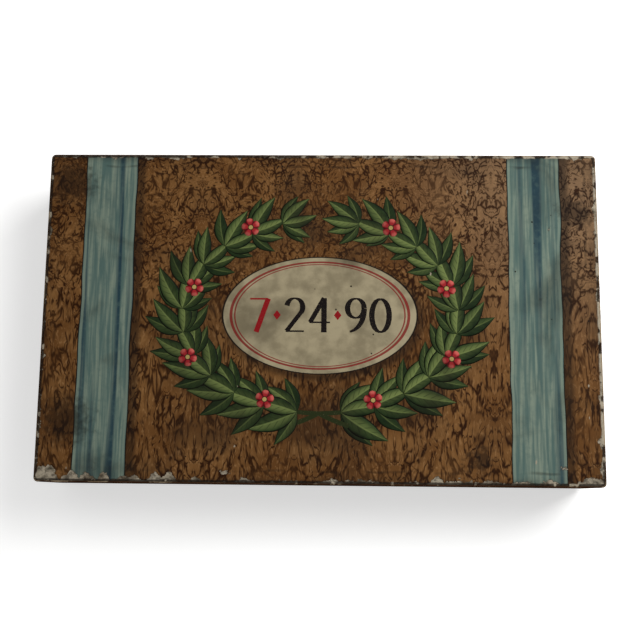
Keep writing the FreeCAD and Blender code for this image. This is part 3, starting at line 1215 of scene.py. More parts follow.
@dataclass
class BlossomPrint(Finish):
    """Printed blossom: five red petals, dark in the creases between them, round a cream eye."""

    dark: Colour = srgb(72, 12, 18)
    red: Colour = srgb(140, 34, 38)
    pale: Colour = srgb(176, 84, 76)
    eye: Colour = srgb(160, 138, 84)
    line: Colour = srgb(22, 10, 9)
    name = "blossom print"
    specular = 0.03

    def paint(self) -> None:
        """Mixes the reds by the distance from the eye and from the creases."""
        spot = self.pattern()
        x, y, _ = spot.split()
        radius = spot.length()
        crease = abs((y.math("ARCTAN2", x) * 2.5).math("COSINE"))
        colour = crease.step(0.1, 0.75).mix(self.dark, self.red)
        colour = (radius.step(0.5, 0.85) * crease.step(0.5, 0.9)).mix(colour, self.pale)
        colour = radius.step(0.34, 0.28).mix(colour, self.line)
        colour = radius.step(0.26, 0.2).mix(colour, self.eye)
        self.coat(self.aged(colour, 0.6), 0.55)


@dataclass
class PrintInk(Finish):
    """Printing ink that has worn a little thin."""

    ink: Ink
    under: Colour = srgb(126, 112, 88)
    specular = 0.03

    @property
    def name(self) -> str:
        """The ink's name."""
        return f"{self.ink.name.lower()} ink"

    def paint(self) -> None:
        """Lets the paper show through in specks."""
        thin = self.place.noise(0.6, 3.0).step(0.6, 0.78)
        self.coat((thin * 0.45).mix(self.ink.value, self.under), thin.lerp(0.45, 0.7))


@dataclass(frozen=True)
class WornSide:
    """Wear along one side of the printed sheet, in millimetres.

    A chip is its middle along the side, half of its length and its depth.
    """

    fringe: float  # share of the usual reach of the torn fringe
    chips: tuple[tuple[float, float, float], ...]

    def depth(self, along: Array, inset: Array, slow: Array, quick: Array) -> Array:
        """How far points lie inside the torn places of this side.

        The fringe's reach is a product of two noises. A chip bulges in from the side, with a noisy edge.

        Args:
            along: where the points lie along the side.
            inset: their distance from it.
            slow, quick: noise from 0 to 1.

        Returns:
            The depth, negative where the print is whole.
        """
        torn = self.fringe * (4.6 * slow * quick - 0.55)
        for middle, half, reach in self.chips:
            bulge = np.clip(1 - np.abs((along - middle) / half) ** 1.5, 0, None)
            torn = np.maximum(torn, reach * bulge * (0.4 + quick))
        return torn - inset


FRONT_WEAR = WornSide(1.0, (
    (-125.5, 7.0, 8.4), (-113.5, 5.4, 4.8), (-106.5, 4.6, 4.6), (-98.4, 3.4, 4.4), (-88.0, 9.0, 2.0),
    (-84.0, 3.0, 3.2), (-74.5, 4.6, 4.6), (-68.5, 4.2, 4.8), (-56.0, 3.4, 3.0), (-34.0, 4.0, 2.4),
    (6.0, 6.0, 2.0), (54.7, 4.6, 3.4), (61.6, 4.0, 2.2), (77.5, 3.6, 2.8), (93.0, 7.0, 2.4),
    (105.0, 6.0, 3.2), (125.0, 11.0, 3.4),
))
BACK_WEAR = WornSide(0.95, (
    (-100.0, 2.6, 2.1), (-83.0, 4.6, 2.4), (-70.0, 6.0, 2.8), (-39.8, 2.6, 2.1), (22.0, 3.0, 2.2),
    (71.5, 3.6, 2.4), (89.5, 2.2, 2.5), (121.0, 7.5, 2.0),
))
LEFT_WEAR = WornSide(0.55, ((40.0, 3.0, 1.9), (-20.0, 2.2, 1.7), (-52.0, 3.4, 2.0)))
RIGHT_WEAR = WornSide(0.85, (
    (-70.0, 7.0, 2.3), (-58.0, 4.4, 2.7), (-38.0, 4.6, 2.3), (10.0, 4.0, 2.1), (52.0, 3.4, 2.2),
))
# Torn flecks further in: the X and Y of each, and its reach, in millimetres.
FLECKS = ((-43.0, -73.4, 1.0), (112.0, -70.0, 0.8), (117.0, 3.0, 0.8), (109.0, 42.0, 0.8))
UNWORN = -9.0  # wear at the middle of the sheet, in millimetres


@dataclass
class LidTop:
    """The printed sheet on the lid, worn along its edges, and the print that lies on it."""

    layout: PrintLayout
    corner_radius: float = 1.5 * MM
    outline_points: int = 1700
    worn_rings: int = 30
    worn_reach: float = 10.0 * MM
    inner_rings: int = 10
    ink_room: float = 0.07 * MM  # between the paper's top and the top of the box
    tear_depth: float = 0.13 * MM
    leaves_per_side: int = 12
    leaf_length: float = 24.0 * MM
    leaf_width: float = 8.8 * MM
    leaf_grid: tuple[int, int] = (15, 7)
    stem_points: int = 70
    blossom_radius: float = 4.4 * MM
    blossom_sides: int = 60
    numeral_height: float = 17.0 * MM
    numeral_gap: float = 6.4 * MM
    numeral_row: float = 67.6 * MM
    numeral_steps: int = 22
    lozenge: tuple[float, float] = (1.7 * MM, 4.6 * MM)  # half of its length, and its width

    def __post_init__(self) -> None:
        """Takes the sheet's place from the frame."""
        low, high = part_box("lid_printed_sheet")
        self.half_x, self.half_y = high.x, high.y
        self.bottom = low.z
        self.top = high.z - self.ink_room

    def wear(self, x: Array, y: Array) -> Array:
        """How far a point lies inside a torn place, in millimetres.

        The four sides are worn each in its own way, a few flecks lie further in, and fine noise frays
        them all.

        Args:
            x, y: the points.

        Returns:
            The depth inside the nearest tear, negative where the print is whole.
        """
        x, y = x / MM, y / MM
        half_x, half_y = self.half_x / MM, self.half_y / MM
        slow = fractal_noise(x, y, 17.0, 11, 3)
        quick = fractal_noise(x, y, 3.4, 23, 4)
        jag = fractal_noise(x, y, 1.1, 37, 2) - 0.5
        sides = (
            (FRONT_WEAR, x, half_y + y),
            (BACK_WEAR, x, half_y - y),
            (LEFT_WEAR, y, half_x + x),
            (RIGHT_WEAR, y, half_x - x),
        )
        torn = np.max([side.depth(along, inset, slow, quick) for side, along, inset in sides], axis=0)
        for fleck_x, fleck_y, half in FLECKS:
            torn = np.maximum(torn, half * (0.4 + quick) - np.hypot(0.5 * (x - fleck_x), y - fleck_y))
        return torn + 1.4 * jag

    def sheet(self) -> Surface:
        """Rings from the middle of the top outwards, round the edge and back to the middle underneath.

        A ring is the sheet's rounded outline, drawn in by an inset: close rings where the edge is worn, and
        then wider ones to a single point. Torn places lie lower than the print.

        Returns:
            The closed sheet, which carries its wear.
        """
        outline = rounded_rectangle(self.half_x, self.half_y, self.corner_radius, self.outline_points)
        unit = outline / (self.half_x, self.half_y)
        worn = np.linspace(0, self.worn_reach, self.worn_rings)
        inner = np.linspace(self.worn_reach, self.half_y, self.inner_rings + 2)[1:-1]
        inset = np.concatenate((worn, inner))[::-1, None]
        x = unit[:, 0] * (self.half_x - inset)
        y = unit[:, 1] * (self.half_y - inset)
        wear = self.wear(x, y)
        rough = fractal_noise(x / MM, y / MM, 1.6, 51, 3)
        tear = smooth_step(-0.15, 0.3, wear) * (0.55 + 0.9 * rough) * self.tear_depth
        rim = np.column_stack((outline, np.full(len(outline), self.bottom)))
        rings = np.concatenate((np.dstack((x, y, self.top - tear)), rim[None]))
        sheet = Surface.rings(rings, (0, 0, self.top), (0, 0, self.bottom))
        sheet.values = {"wear": np.concatenate(([UNWORN], wear.ravel(), wear[-1], [UNWORN]))}
        return sheet

    def leaf(self, length: float, width: float, bend: float, tone: float) -> Surface:
        """A pointed leaf on a grid: the half width is sin(pi * u^0.8), and the rib is bent into a parabola.

        Args:
            length, width: its size.
            bend: how far its tip is bent aside.
            tone: how light it is, 0 to 1.

        Returns:
            An open leaf from the origin along X, with (u, v) as its pattern.
        """
        rows, columns = self.leaf_grid
        u, v = np.meshgrid(np.linspace(0, 1, rows), np.linspace(-1, 1, columns), indexing="ij")
        half = np.maximum(width / 2 * np.sin(np.pi * u**0.8), 0.01 * MM)
        points = np.dstack((u * length, bend * (u - u * u) + v * half, np.zeros_like(u))).reshape(-1, 3)
        values = {"tone": np.full(u.size, tone)}
        return Surface(points, [grid_quads(rows, columns)[:, ::-1]], np.dstack((u, v)).reshape(-1, 2), values)

    def blossom(self) -> Surface:
        """A flat blossom of five petals: at an angle a, its edge lies at 0.7 + 0.3 |cos(2.5 a)|^0.6.

        Returns:
            An open disc round the origin, with its own (x, y) from -1 to 1 as its pattern.
        """
        angle = np.linspace(0, 2 * math.pi, self.blossom_sides, endpoint=False)
        reach = 0.7 + 0.3 * np.abs(np.cos(2.5 * angle)) ** 0.6
        edge = np.column_stack((reach * np.cos(angle), reach * np.sin(angle), np.zeros_like(angle)))
        disc = Surface.rings(np.stack((0.5 * edge, edge)), ORIGIN)
        disc.uv = disc.points[:, :2]
        disc.points = disc.points * self.blossom_radius
        return disc

    def branch(self, side: int, run: Array) -> Array:
        """Points of one branch: half an oval from its bottom to its top; before run 0 it swings outwards.

        Args:
            side: 1 for the branch on the right, -1 for the one on the left.
            run: shares of the half oval, 0 at the bottom and 1 at the top.

        Returns:
            The points.
        """
        angle = -math.pi / 2 + side * math.pi * run
        swing = 1 + 2.4 * np.maximum(-run, 0)
        half_x, half_y = self.layout.wreath_mm
        return np.column_stack((half_x * MM * np.cos(angle) * swing, half_y * MM * np.sin(angle) * swing))

    def wreath(self) -> tuple[Surface, Surface, Surface]:
        """Two branches of leaves that cross at the bottom, with blossoms along them.

        At each step there are two dark leaves behind and three lighter ones in front.

        Returns:
            The leaves, the blossoms and the stems.
        """
        random = np.random.default_rng(5)
        leaves, blossoms, stems = [], [], []
        # how far each leaf of a step leans from the branch, its share of the full size, and its tone
        fan = ((-1.0, 0.86, 0.05), (1.0, 0.74, 0.1), (-0.55, 1.0, 0.5), (0.55, 0.86, 0.6), (0.03, 0.94, 0.8))
        layers = np.linspace(0.2, 0.75, 2 * self.leaves_per_side * len(fan)) * self.ink_room
        taper = np.linspace(2.2, 0.6, self.stem_points) * MM
        steps = np.linspace(0.05, 0.91, self.leaves_per_side)
        for side, stem in ((1, 0.2), (-1, 0.26)):
            path = self.branch(side, np.linspace(-0.06, 0.95, self.stem_points))
            stems.append(flat_strip(path, taper, self.top, self.top + stem * self.ink_room))
            places = self.branch(side, steps)
            ahead = self.branch(side, steps + 0.01) - places
            for index, ((x, y), (step_x, step_y)) in enumerate(zip(places, ahead)):
                heading = math.atan2(step_y, step_x)
                for lean, share, tone in fan:
                    turn = heading + side * lean + random.uniform(-0.12, 0.12)
                    size = share * random.uniform(0.88, 1.08) * (1.0 - 0.2 * steps[index])
                    bend = side * math.copysign(1.0, lean) * random.uniform(1.0, 5.0) * MM
                    tone = min(1.0, tone + random.uniform(0.0, 0.3))
                    leaf = self.leaf(self.leaf_length * size, self.leaf_width * size, bend, tone)
                    leaves.append(leaf.moved((x, y, self.top + layers[len(leaves)]), turn))
                if index % 3 == 1:
                    aside = heading + side * 1.4 * (1 if index % 2 else -1)
                    reach = 0.6 * self.blossom_radius
                    spot = (x + reach * math.cos(aside), y + reach * math.sin(aside))
                    blossoms.append(self.blossom().moved((*spot, self.top + 0.9 * self.ink_room), aside))
        return Surface.join(leaves), Surface.join(blossoms), Surface.join(stems)

    def build(self) -> None:
        """Makes the sheet and the print on it."""
        paper = PrintedPaper(self.layout).material
        add_piece("lid_print_sheet", self.sheet(), paper, "lid", "printed_sheet", "lid_printed_sheet")
        ink = 0.3 * self.ink_room
        low, high = self.top - ink, self.top + ink
        printed = functools.partial(add_piece, body="lid", slot="printed_sheet")
        leaves, blossoms, stems = self.wreath()
        printed("wreath_leaves", leaves, LeafPrint().material, thickness=ink)
        printed("wreath_blossoms", blossoms, BlossomPrint().material, thickness=ink)
        printed("wreath_stems", stems, PrintInk(Ink.STEM).material, smooth=False)
        left = -self.numeral_row / 2
        for text, colour in (("7", Ink.RED), ("24", Ink.BLACK), ("90", Ink.BLACK)):
            width = number_width(text) * self.numeral_height
            strokes = number_strokes(text, self.numeral_height, low, high, self.numeral_steps, LARGE_THIN)
            number = Surface.join(strokes).moved((left + width / 2, 0.0, 0.0))
            left += width + self.numeral_gap
            printed(f"lid_number_{text}", number, PrintInk(colour).material, smooth=False)
            if text != "90":
                half, thick = self.lozenge
                path = np.array(((-half, 0.0), (0.0, 0.0), (half, 0.0))) + (left - self.numeral_gap / 2, 0.0)
                lozenge = flat_strip(path, np.array((0.1 * MM, thick, 0.1 * MM)), low, high)
                printed(f"lid_lozenge_after_{text}", lozenge, PrintInk(Ink.RED).material, smooth=False)


@dataclass
class CoverPaper(Finish):
    """Dark paper on the outside of a box, rubbed through to the board at its corners and rims."""

    node: str
    dark: Colour
    light: Colour
    reach_mm: float
    top_room_mm: float  # keeps the rubbing away from the top rim
    pale_rim: bool = False  # whether its top rim has pale stretches, partly worn board and partly painted highlight
    board: Colour = srgb(146, 130, 106)
    board_shade: Colour = srgb(94, 76, 56)
    scuffed: Colour = srgb(98, 74, 53)
    seam: Colour = srgb(16, 10, 7)
    lap_mm: float = 11.0  # width of the paper's laps round the corners
    specular = 0.0

    @property
    def name(self) -> str:
        """The node's name, in words."""
        return self.node.replace("_", " ")

    def paint(self) -> None:
        """Clouds and scuffs the paper, marks its laps on the short sides, and rubs it through; pale stretches
        of the top rim, where it has them, are partly painted highlight.
        """
        place = self.place
        low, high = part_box(self.node)
        half_x, half_y = high.x / MM, high.y / MM
        colour = place.noise(15.0, 5.0, 0.5).step(0.32, 0.7).mix(self.dark, self.light)
        scuff = place.stretch(0.13, 0.13, 1.1).noise(2.6, 5.0)
        patch = place.noise(27.0, 3.0).step(0.42, 0.66)
        colour = (scuff.step(0.56, 0.7) * patch * 0.7).mix(colour, self.scuffed)
        x, y, z = place.split()
        along = abs(y) - (half_y - self.lap_mm)
        short_side = abs(x).step(half_x - 1.5, half_x - 1.0)
        seam = abs(along).step(0.5, 0.1) * short_side
        colour = (seam * 0.6).mix(colour, self.seam)
        worn_lap = abs(along - 0.55).step(0.5, 0.1) * short_side * scuff.step(0.36, 0.6)
        colour = (worn_lap * 0.8).mix(colour, self.scuffed)
        pebble, _ = place.wander(0.8, 0.3).cells(0.5)
        colour = (pebble.step(0.35, 0.7) * 0.5).mix(colour, self.dark)
        colour = self.aged(colour, 0.5, nicks=0.6)
        corner = (half_x, half_y, high.z / MM + self.top_room_mm)
        rubbed, = RUBBED.put(self.tree, Place=place, Corner=corner, Low=low.z / MM, Reach=self.reach_mm)
        # pale stretches of the top rim join the rubbing: worn board, and painted highlight where the rim
        # faces the light
        if self.pale_rim:
            pale, = PALE_AND_LIT_RIM.put(self.tree, Place=place)
            rubbed = rubbed.most(pale * z.step(high.z / MM - 1.0, high.z / MM - 0.4))
        bare = self.fibre()[0].step(0.35, 0.62).mix(self.board_shade, self.board)
        lap = along.step(-0.15, 0.1) * short_side
        self.coat(rubbed.mix(colour, bare), rubbed.lerp(0.7, 0.9), pebble * 0.5 + lap - rubbed)


@dataclass
class PlainPaper(Finish):
    """Pulp paper or board: felted fibres, flecks of straw, brown spots of age and handling marks."""

    name: str
    pale: Colour
    shade: Colour
    flecks: float
    spots: float
    fleck: Colour = srgb(84, 66, 44)
    spot: Colour = srgb(116, 82, 48)
    specular = 0.15

    def paint(self) -> None:
        """Lays the flecks and the spots over the fibres."""
        tone, height = self.fibre()
        colour = tone.step(0.3, 0.68).mix(self.shade, self.pale)
        straw, pick = self.place.wander(2.5, 1.2).stretch(1.0, 0.45, 0.7).cells(1.7)
        colour = (straw.step(0.2, 0.1) * pick.step(0.45, 0.55) * self.flecks).mix(colour, self.fleck)
        spot, size = self.place.wander(3.0, 1.5).cells(15.0)
        foxed = (spot - size.lerp(-0.12, 0.16)).step(0.06, -0.05) * self.spots
        colour = self.aged(foxed.mix(colour, self.spot), 0.4, 0.6, 0.0)
        self.coat(colour, tone.lerp(0.95, 0.75), height)


@dataclass
class CardStock(Finish):
    """Printed card: smooth faces that have yellowed, and pulpy cut edges."""

    pale: Colour = srgb(196, 181, 146)
    shade: Colour = srgb(164, 145, 108)
    edge: Colour = srgb(126, 110, 86)
    edge_dark: Colour = srgb(74, 60, 44)
    name = "card stock"
    specular = 0.2

    def paint(self) -> None:
        """Tells faces from edges by which way they face."""
        tone, height = self.fibre()
        _, _, up = self.read("ShaderNodeTexCoord", "Normal").split()
        flat = abs(up).step(0.4, 0.8)
        face = self.place.noise(22.0, 5.0).step(0.3, 0.7).mix(self.shade, self.pale)
        cut = tone.step(0.3, 0.65).mix(self.edge_dark, self.edge)
        cut = (self.attribute("tone") * 0.55).mix(cut, self.edge_dark)
        colour = self.aged(flat.mix(cut, face), 0.3, 0.8, 0.0)
        self.coat(colour, flat.lerp(0.9, 0.6), height, 0.06)


@dataclass
class TurnedWood(Finish):
    """Small turned pieces of wood, each with its own grain and tone."""

    name: str
    pale: Colour
    shade: Colour
    worn: Colour
    radius_mm: float
    specular = 0.4

    def paint(self) -> None:
        """Reads the grain at each piece's own place, and wears its edge."""
        spot, tone = self.pattern(), self.attribute("tone")
        u, v, _ = spot.split()
        local = (u * self.radius_mm).joined(v * self.radius_mm, tone * 60.0)
        grain, height = GRAIN.put(self.tree, Place=local)
        colour = grain.step(0.2, 0.7).mix(self.shade, self.pale)
        colour = (tone * 0.55).mix(colour, self.shade)
        rubbed = spot.length().step(0.86, 0.95) * self.place.noise(1.6, 3.0).step(0.42, 0.6)
        colour = (rubbed * 0.6).mix(colour, self.worn)
        colour = self.aged(colour, 0.35, 0.6, 0.4, local)
        self.coat(colour, self.place.noise(2.0, 3.0).lerp(0.32, 0.62), height, 0.05)


@dataclass
class BagCloth(Finish):
    """Unbleached cotton in a plain weave, with stitches along its hems and its side seams."""

    width_mm: float
    length_mm: float
    pale: Colour = srgb(214, 200, 168)
    shade: Colour = srgb(168, 149, 113)
    stitch: Colour = srgb(92, 52, 40)
    thread_mm: float = 0.55
    hem_mm: float = 9.0
    seam_mm: float = 5.0
    stitch_mm: float = 2.6
    name = "bag cotton"
    specular = 0.1

    def paint(self) -> None:
        """Crosses two sines into a weave with slubs both ways, and sews the stitches."""
        self.shader.inputs["Sheen Weight"].default_value = 0.25
        self.shader.inputs["Sheen Roughness"].default_value = 0.5
        spot = self.pattern()
        across, along, _ = spot.split()
        weft, warp = ((run * (math.pi / self.thread_mm)).math("SINE") for run in (across, along))
        weave = (weft * warp).lerp(0.5, 1.0)
        slub = spot.stretch(1.0, 0.06, 1.0).noise(0.6) * 0.5 + spot.stretch(0.06, 1.0, 1.0).noise(0.6) * 0.5
        colour = slub.step(0.32, 0.66).mix(self.shade, self.pale)
        # painted shade in the low gaps between the threads
        colour = (weave.step(0.55, 0.2) * 0.35).mix(colour, self.shade)
        end = along.least(self.length_mm - along)
        side = self.width_mm / 2 - abs(across)
        for edge, run, depth in ((end, across, self.hem_mm), (side, along, self.seam_mm)):
            line = abs(edge - depth).step(0.42, 0.25)
            colour = (line * run.fold(self.stitch_mm / 2).step(0.3, 0.5)).mix(colour, self.stitch)
        self.coat(self.aged(colour, 0.35, 0.4, 0.0, spot), 0.92, weave, 0.14)


@dataclass
class BoxBoards:
    """Boards and papers of the lid, the tray and the partitions, which keep the frame's shapes."""

    frame: dict[str, Any]

    def dress(self, finish: Finish, *names: str) -> None:
        """Gives nodes of the frame a finish.

        Args:
            finish: the finish.
            names: the nodes' names.
        """
        for name in names:
            for slot in self.frame["nodes"][name].material_slots:
                slot.material = finish.material
            LOG.info("%s: %s", name, finish.name)

    def build(self) -> None:
        """Dresses them."""
        straw = PlainPaper("strawboard", srgb(172, 148, 104), srgb(132, 108, 70), flecks=0.75, spots=0.3)
        sides = ("front", "back", "left", "right")
        walls = [f"{box}_{side}_wall" for box in ("lid", "tray") for side in sides]
        self.dress(straw, "lid_top_board", "tray_base_board", *walls)
        stays = PlainPaper("stay paper", srgb(190, 170, 138), srgb(154, 130, 98), flecks=0.25, spots=0.5)
        self.dress(stays, "lid_corner_stays", "tray_corner_stays", "partition_strips")
        lining = PlainPaper("lining paper", srgb(216, 199, 172), srgb(192, 169, 137), flecks=0.12, spots=0.8)
        papers = ("lid_lining_paper", "lid_infill_paper", "tray_floor_lining", "tray_wall_lining")
        self.dress(lining, *papers, "tray_base_paper")
        board = PlainPaper("partition board", srgb(178, 150, 117), srgb(140, 110, 80), flecks=0.6, spots=0.35)
        self.dress(board, "cross_partition", "card_partition", "disc_partition")
        for cover in (
            CoverPaper(
                "lid_cover_paper", srgb(50, 31, 19), srgb(78, 54, 36),
                reach_mm=1.0, top_room_mm=1.1, pale_rim=True,
            ),
            CoverPaper("tray_cover_paper", srgb(52, 34, 23), srgb(80, 57, 39), reach_mm=0.6, top_room_mm=0.0),
        ):
            self.dress(cover, cover.node)


def lathe(profile: Sequence[tuple[float, float]], radius: float, height: float, columns: int) -> Surface:
    """A closed turned shape: a profile from the middle of its top to the middle of its foot, turned about Z.

    Args:
        profile: points of the profile, as shares of the radius and of the height.
        radius, height: size of the shape.
        columns: number of sides.

    Returns:
        The shape on the plane z = 0, with its own (x, y) as shares of the radius as its pattern.
    """
    out, up = np.array(profile).T[..., None]
    angle = np.linspace(0, 2 * math.pi, columns, endpoint=False)
    rings = np.dstack((out * np.cos(angle), out * np.sin(angle), up + 0 * angle))[1:-1]
    shape = Surface.rings(rings, (0, 0, profile[0][1]), (0, 0, profile[-1][1]))
    shape.uv = shape.points[:, :2]
    shape.points = shape.points * (radius, radius, height)
    return shape


@dataclass
class RoundPieces:
    """Turned pieces that stand in rows of equal piles in their compartment."""

    name: str
    node: str
    body: str
    slot: str
    wood: TurnedWood
    profile: tuple[tuple[float, float], ...]
    columns: int
    rows: int
    layers: int
    sides: int
    play: float  # how far a piece may lie off its place
    numeral_height: float = 0.0
    numeral_steps: int = 12
    seed: int = 3

    def build(self) -> None:
        """Makes the pieces, and the numbers on the top ones where they have numbers."""
        low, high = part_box(self.node)
        random = np.random.default_rng(self.seed)
        radius = self.wood.radius_mm * MM
        height = (high.z - low.z) / self.layers
        shape = lathe(self.profile, radius, height, self.sides)
        x = np.linspace(low.x + radius, high.x - radius, self.columns)
        y = np.linspace(low.y + radius, high.y - radius, self.rows)
        z = low.z + height * np.arange(self.layers)
        places = np.stack(np.meshgrid(z, y, x, indexing="ij")[::-1], axis=-1).reshape(-1, 3)
        places[:, :2] += random.uniform(-self.play, self.play, (len(places), 2))
        turns = random.uniform(0, 2 * math.pi, len(places))
        tones = random.random(len(places))
        numbers = random.permutation(np.arange(1, len(places) + 1))
        top = height * self.profile[0][1]
        pieces, ink = [], []
        for index, place in enumerate(places):
            piece = shape.moved(place, turns[index])
            piece.values = {"tone": np.full(len(shape.points), tones[index])}
            pieces.append(piece)
            if self.numeral_height and index >= len(places) - self.columns * self.rows:
                size = (self.numeral_height, top - INK, top + INK, self.numeral_steps, SMALL_THIN)
                strokes = number_strokes(str(numbers[index]), *size)
                ink += [stroke.moved(place, turns[index] / 9 - 0.35) for stroke in strokes]
        add_piece(self.name, Surface.join(pieces), self.wood.material, self.body, self.slot, self.node)
        if ink:
            black = PrintInk(Ink.BLACK).material
            add_piece(f"{self.name}_numbers", Surface.join(ink), black, self.body, self.slot, smooth=False)


@dataclass
class CardStack:
    """Number cards in a stack that isn't quite square, the top one printed with its grid of numbers."""

    cards: int = 24
    play: float = 0.5 * MM
    corner: float = 2.5 * MM
    outline_points: int = 96
    margin: float = 6.0 * MM
    columns: int = 9
    rows: int = 3
    numbers_per_row: int = 5
    rule: float = 0.5 * MM
    outer_rule: float = 1.1 * MM
    numeral_height: float = 10.0 * MM
    numeral_steps: int = 14
    tint_inset: float = 1.6 * MM  # from a cell's rules to its block of colour
    gap: float = 0.06 * MM  # between one card and the next

    def card(self, half_x: float, half_y: float, thickness: float, tone: float) -> Surface:
        """A flat card with rounded corners, as rings from the middle of its face round to that of its back.

        Args:
            half_x, half_y: half of its length and width.
            thickness: its thickness.
            tone: how dark its edge is.

        Returns:
            The closed card on the plane z = 0.
        """
        outline = rounded_rectangle(half_x, half_y, self.corner, self.outline_points)
        soft = 0.12 * thickness
        inner = outline * (1 - soft / np.array((half_x, half_y)))
        levels = ((inner, thickness), (outline, thickness - soft), (outline, soft), (inner, 0.0))
        rings = np.stack([np.column_stack((line, np.full(len(line), z))) for line, z in levels])
        card = Surface.rings(rings, (0, 0, thickness), ORIGIN)
        card.values = {"tone": np.full(len(card.points), tone)}
        return card

    def grid(self, half_x: float, half_y: float, top: float) -> list[Surface]:
        """The rules of the top card's grid, as thin strips.

        Args:
            half_x, half_y: half of the grid's length and width.
            top: height of the card's face.

        Returns:
            One strip for each rule.
        """
        upright = [(x, -half_y, x, half_y) for x in np.linspace(-half_x, half_x, self.columns + 1)]
        level = [(-half_x, y, half_x, y) for y in np.linspace(-half_y, half_y, self.rows + 1)]
        strips = []
        for lines in (upright, level):
            for line in lines:
                path = stroke_path(line)
                width = self.outer_rule if line in (lines[0], lines[-1]) else self.rule
                high = top + INK * (1 + 0.05 * len(strips))
                strips.append(flat_strip(path, np.full(len(path), width), top - INK, high))
        return strips

    def build(self) -> None:
        """Makes the stack and the print on its top card."""
        low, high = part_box("number_cards")
        random = np.random.default_rng(8)
        middle = np.array(((low.x + high.x) / 2, (low.y + high.y) / 2))
        half_x, half_y = (high.x - low.x) / 2 - self.play, (high.y - low.y) / 2 - self.play
        pitch = (high.z - low.z) / self.cards
        turn_room = 0.5 * self.play / half_x
        cards = []
        for index in range(self.cards):
            shift = random.uniform(-0.5, 0.5, 2) * self.play
            turn = random.uniform(-turn_room, turn_room)
            if index == self.cards - 1:
                shift, turn = np.zeros(2), 0.0
            card = self.card(half_x, half_y, pitch - self.gap, random.random())
            cards.append(card.moved((*(middle + shift), low.z + index * pitch), turn))
        add_piece(
            "card_stack", Surface.join(cards), CardStock().material, "card_stack", "card_face", "number_cards"
        )
        top = low.z + self.cards * pitch - self.gap
        grid_x, grid_y = half_x - self.margin, half_y - self.margin
        strips, blocks = self.grid(grid_x, grid_y, top), []
        cell_x, cell_y = 2 * grid_x / self.columns, 2 * grid_y / self.rows
        reach = cell_y / 2 - self.tint_inset
        path = stroke_path((0.0, -reach, 0.0, reach))
        block = flat_strip(path, np.full(len(path), cell_x - 2 * self.tint_inset), top - INK, top + INK)
        size = (self.numeral_height, top - INK, top + INK, self.numeral_steps, SMALL_THIN)
        for row in range(self.rows):
            chosen = random.choice(self.columns, self.numbers_per_row, replace=False)
            for column in range(self.columns):
                number = str(10 * column + int(random.integers(1, 10)))
                place = (-grid_x + (column + 0.5) * cell_x, -grid_y + (row + 0.5) * cell_y, 0.0)
                if column in chosen:
                    strips += [stroke.moved(place) for stroke in number_strokes(number, *size)]
                else:
                    blocks.append(block.moved(place))
        for name, parts, ink in (("card_print", strips, Ink.BLACK), ("card_tints", blocks, Ink.TINT)):
            surface = Surface.join(parts).moved((*middle, 0.0))
            add_piece(name, surface, PrintInk(ink).material, "card_stack", "card_face", smooth=False)


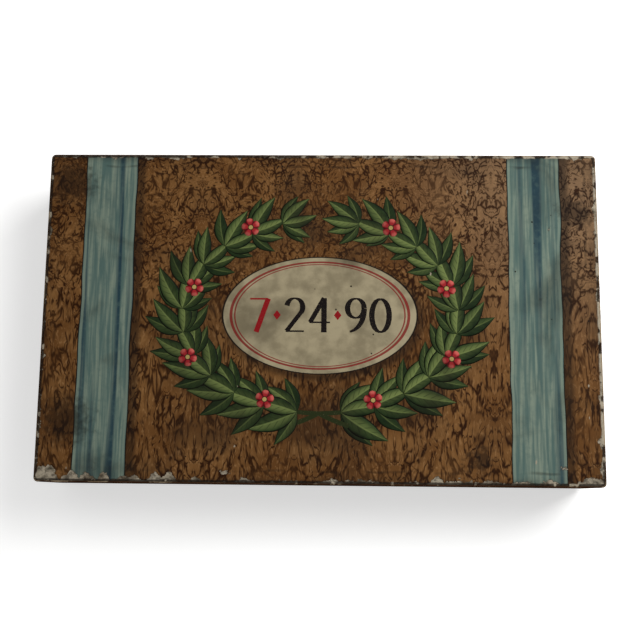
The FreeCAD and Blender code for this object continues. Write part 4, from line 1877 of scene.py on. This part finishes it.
@dataclass
class DrawBag:
    """Cotton bag, sewn from one cut that is folded at its bottom, and folded once more to lie in the box."""

    margin: float = 2.2 * MM  # from the room that the frame keeps for it
    layers: tuple[float, float, float, float] = (0.75 * MM, 2.4 * MM, 4.3 * MM, 6.6 * MM)
    mouth: tuple[float, float] = (1.5 * MM, 0.5 * MM)  # how far its two edges lie back from the fold
    cloth: float = 0.7 * MM
    columns: int = 110
    run_points: int = 34
    turn_points: int = 15

    def path(self, half: float) -> Array:
        """The cut seen from its side: four runs that lie on each other, joined by half circles.

        It starts at the mouth's inner edge in the third run, turns under into the second, turns round the
        bag's bottom into the first, and comes up round the outside into the fourth.

        Args:
            half: half of the folded bag's width.

        Returns:
            Points across and above the floor.
        """
        one, two, three, four = self.layers
        left, right = -half + (four - one) / 2, half - (two - one) / 2
        turn = np.linspace(0, math.pi, self.turn_points)[1:-1, None]

        def run(first: float, last: float, height: float) -> Array:
            """A straight run."""
            return np.linspace((first, height), (last, height), self.run_points)

        def round_off(middle: float, start: float, end: float, side: int) -> Array:
            """A half circle from one run to another."""
            out = abs(end - start) / 2 * side * np.sin(turn)
            return np.hstack((middle + out, (start + end) / 2 + (start - end) / 2 * np.cos(turn)))

        inner, outer = self.mouth
        return np.vstack((
            run(right - inner, left, three),
            round_off(left, three, two, -1),
            run(left, right, two),
            round_off(right, two, one, 1),
            run(right, left, one),
            round_off(left, one, four, -1),
            run(left, right - outer, four),
        ))

    def build(self) -> None:
        low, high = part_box("draw_bag")
        half_x = (high.x - low.x) / 2 - self.margin
        path = self.path((high.y - low.y) / 2 - self.margin)
        run = run_along(path)
        x = np.linspace(-half_x, half_x, self.columns)
        across, y = np.meshgrid(x, path[:, 0], indexing="ij")
        z = np.broadcast_to(path[:, 1], y.shape)
        wave = fractal_noise(across / MM, y / MM, 26.0, 71, 2)
        ripple = fractal_noise(across / MM, 0.4 * y / MM + 7, 9.0, 83, 2)
        droop = 1 - 0.3 * (np.abs(across) / half_x) ** 6
        lifted = z * (0.76 + 0.34 * wave + 0.12 * ripple) * droop + 0.1 * MM
        shifted = y + 1.6 * MM * (fractal_noise(across / MM, z / MM, 21.0, 91, 2) - 0.5)
        centre = ((low.x + high.x) / 2, (low.y + high.y) / 2, low.z + self.cloth / 2)
        points = np.dstack((across, shifted, lifted)).reshape(-1, 3) + np.array(centre)
        uv = np.dstack(np.meshgrid(x / MM, run / MM, indexing="ij")).reshape(-1, 2)
        sheet = Surface(points, [grid_quads(self.columns, len(path))], uv)
        cotton = BagCloth(2 * half_x / MM, float(run[-1]) / MM).material
        bag = add_piece(
            "cotton_bag", sheet, cotton, "bag", "bag_cloth", "draw_bag", thickness=self.cloth, offset=0.0
        )


DISC_PROFILE = (
    (0.0, 0.985), (0.66, 0.99), (0.69, 0.945), (0.73, 0.945), (0.76, 0.99), (0.92, 0.985), (0.98, 0.94),
    (1.0, 0.84), (0.985, 0.5), (1.0, 0.16), (0.98, 0.06), (0.92, 0.01), (0.0, 0.01),
)
COUNTER_PROFILE = (
    (0.0, 0.97), (0.84, 0.98), (0.95, 0.86), (1.0, 0.5), (0.95, 0.14), (0.84, 0.02), (0.0, 0.02),
)


def main() -> None:
    """Builds the looks round the frame."""
    logging.basicConfig(level=logging.INFO, format="%(message)s")
    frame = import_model()
    cad_low, cad_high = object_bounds()
    Studio().build(cad_high.z)
    LidTop(PrintLayout()).build()
    BoxBoards(frame).build()
    CardStack().build()
    RoundPieces(
        "number_disc_set", "number_discs", "disc_set", "disc_wood",
        TurnedWood("disc wood", srgb(206, 168, 112), srgb(158, 114, 64), srgb(120, 82, 46), radius_mm=7.75),
        DISC_PROFILE, columns=5, rows=6, layers=3, sides=30, play=0.12 * MM, numeral_height=6.0 * MM,
    ).build()
    RoundPieces(
        "cover_counter_set", "cover_counters", "counter_set", "counter_stain",
        TurnedWood("counter wood", srgb(142, 38, 34), srgb(92, 20, 20), srgb(172, 122, 82), radius_mm=6.0),
        COUNTER_PROFILE, columns=6, rows=3, layers=4, sides=24, play=0.3 * MM,
    ).build()
    DrawBag().build()


if __name__ == "__main__":
    main()
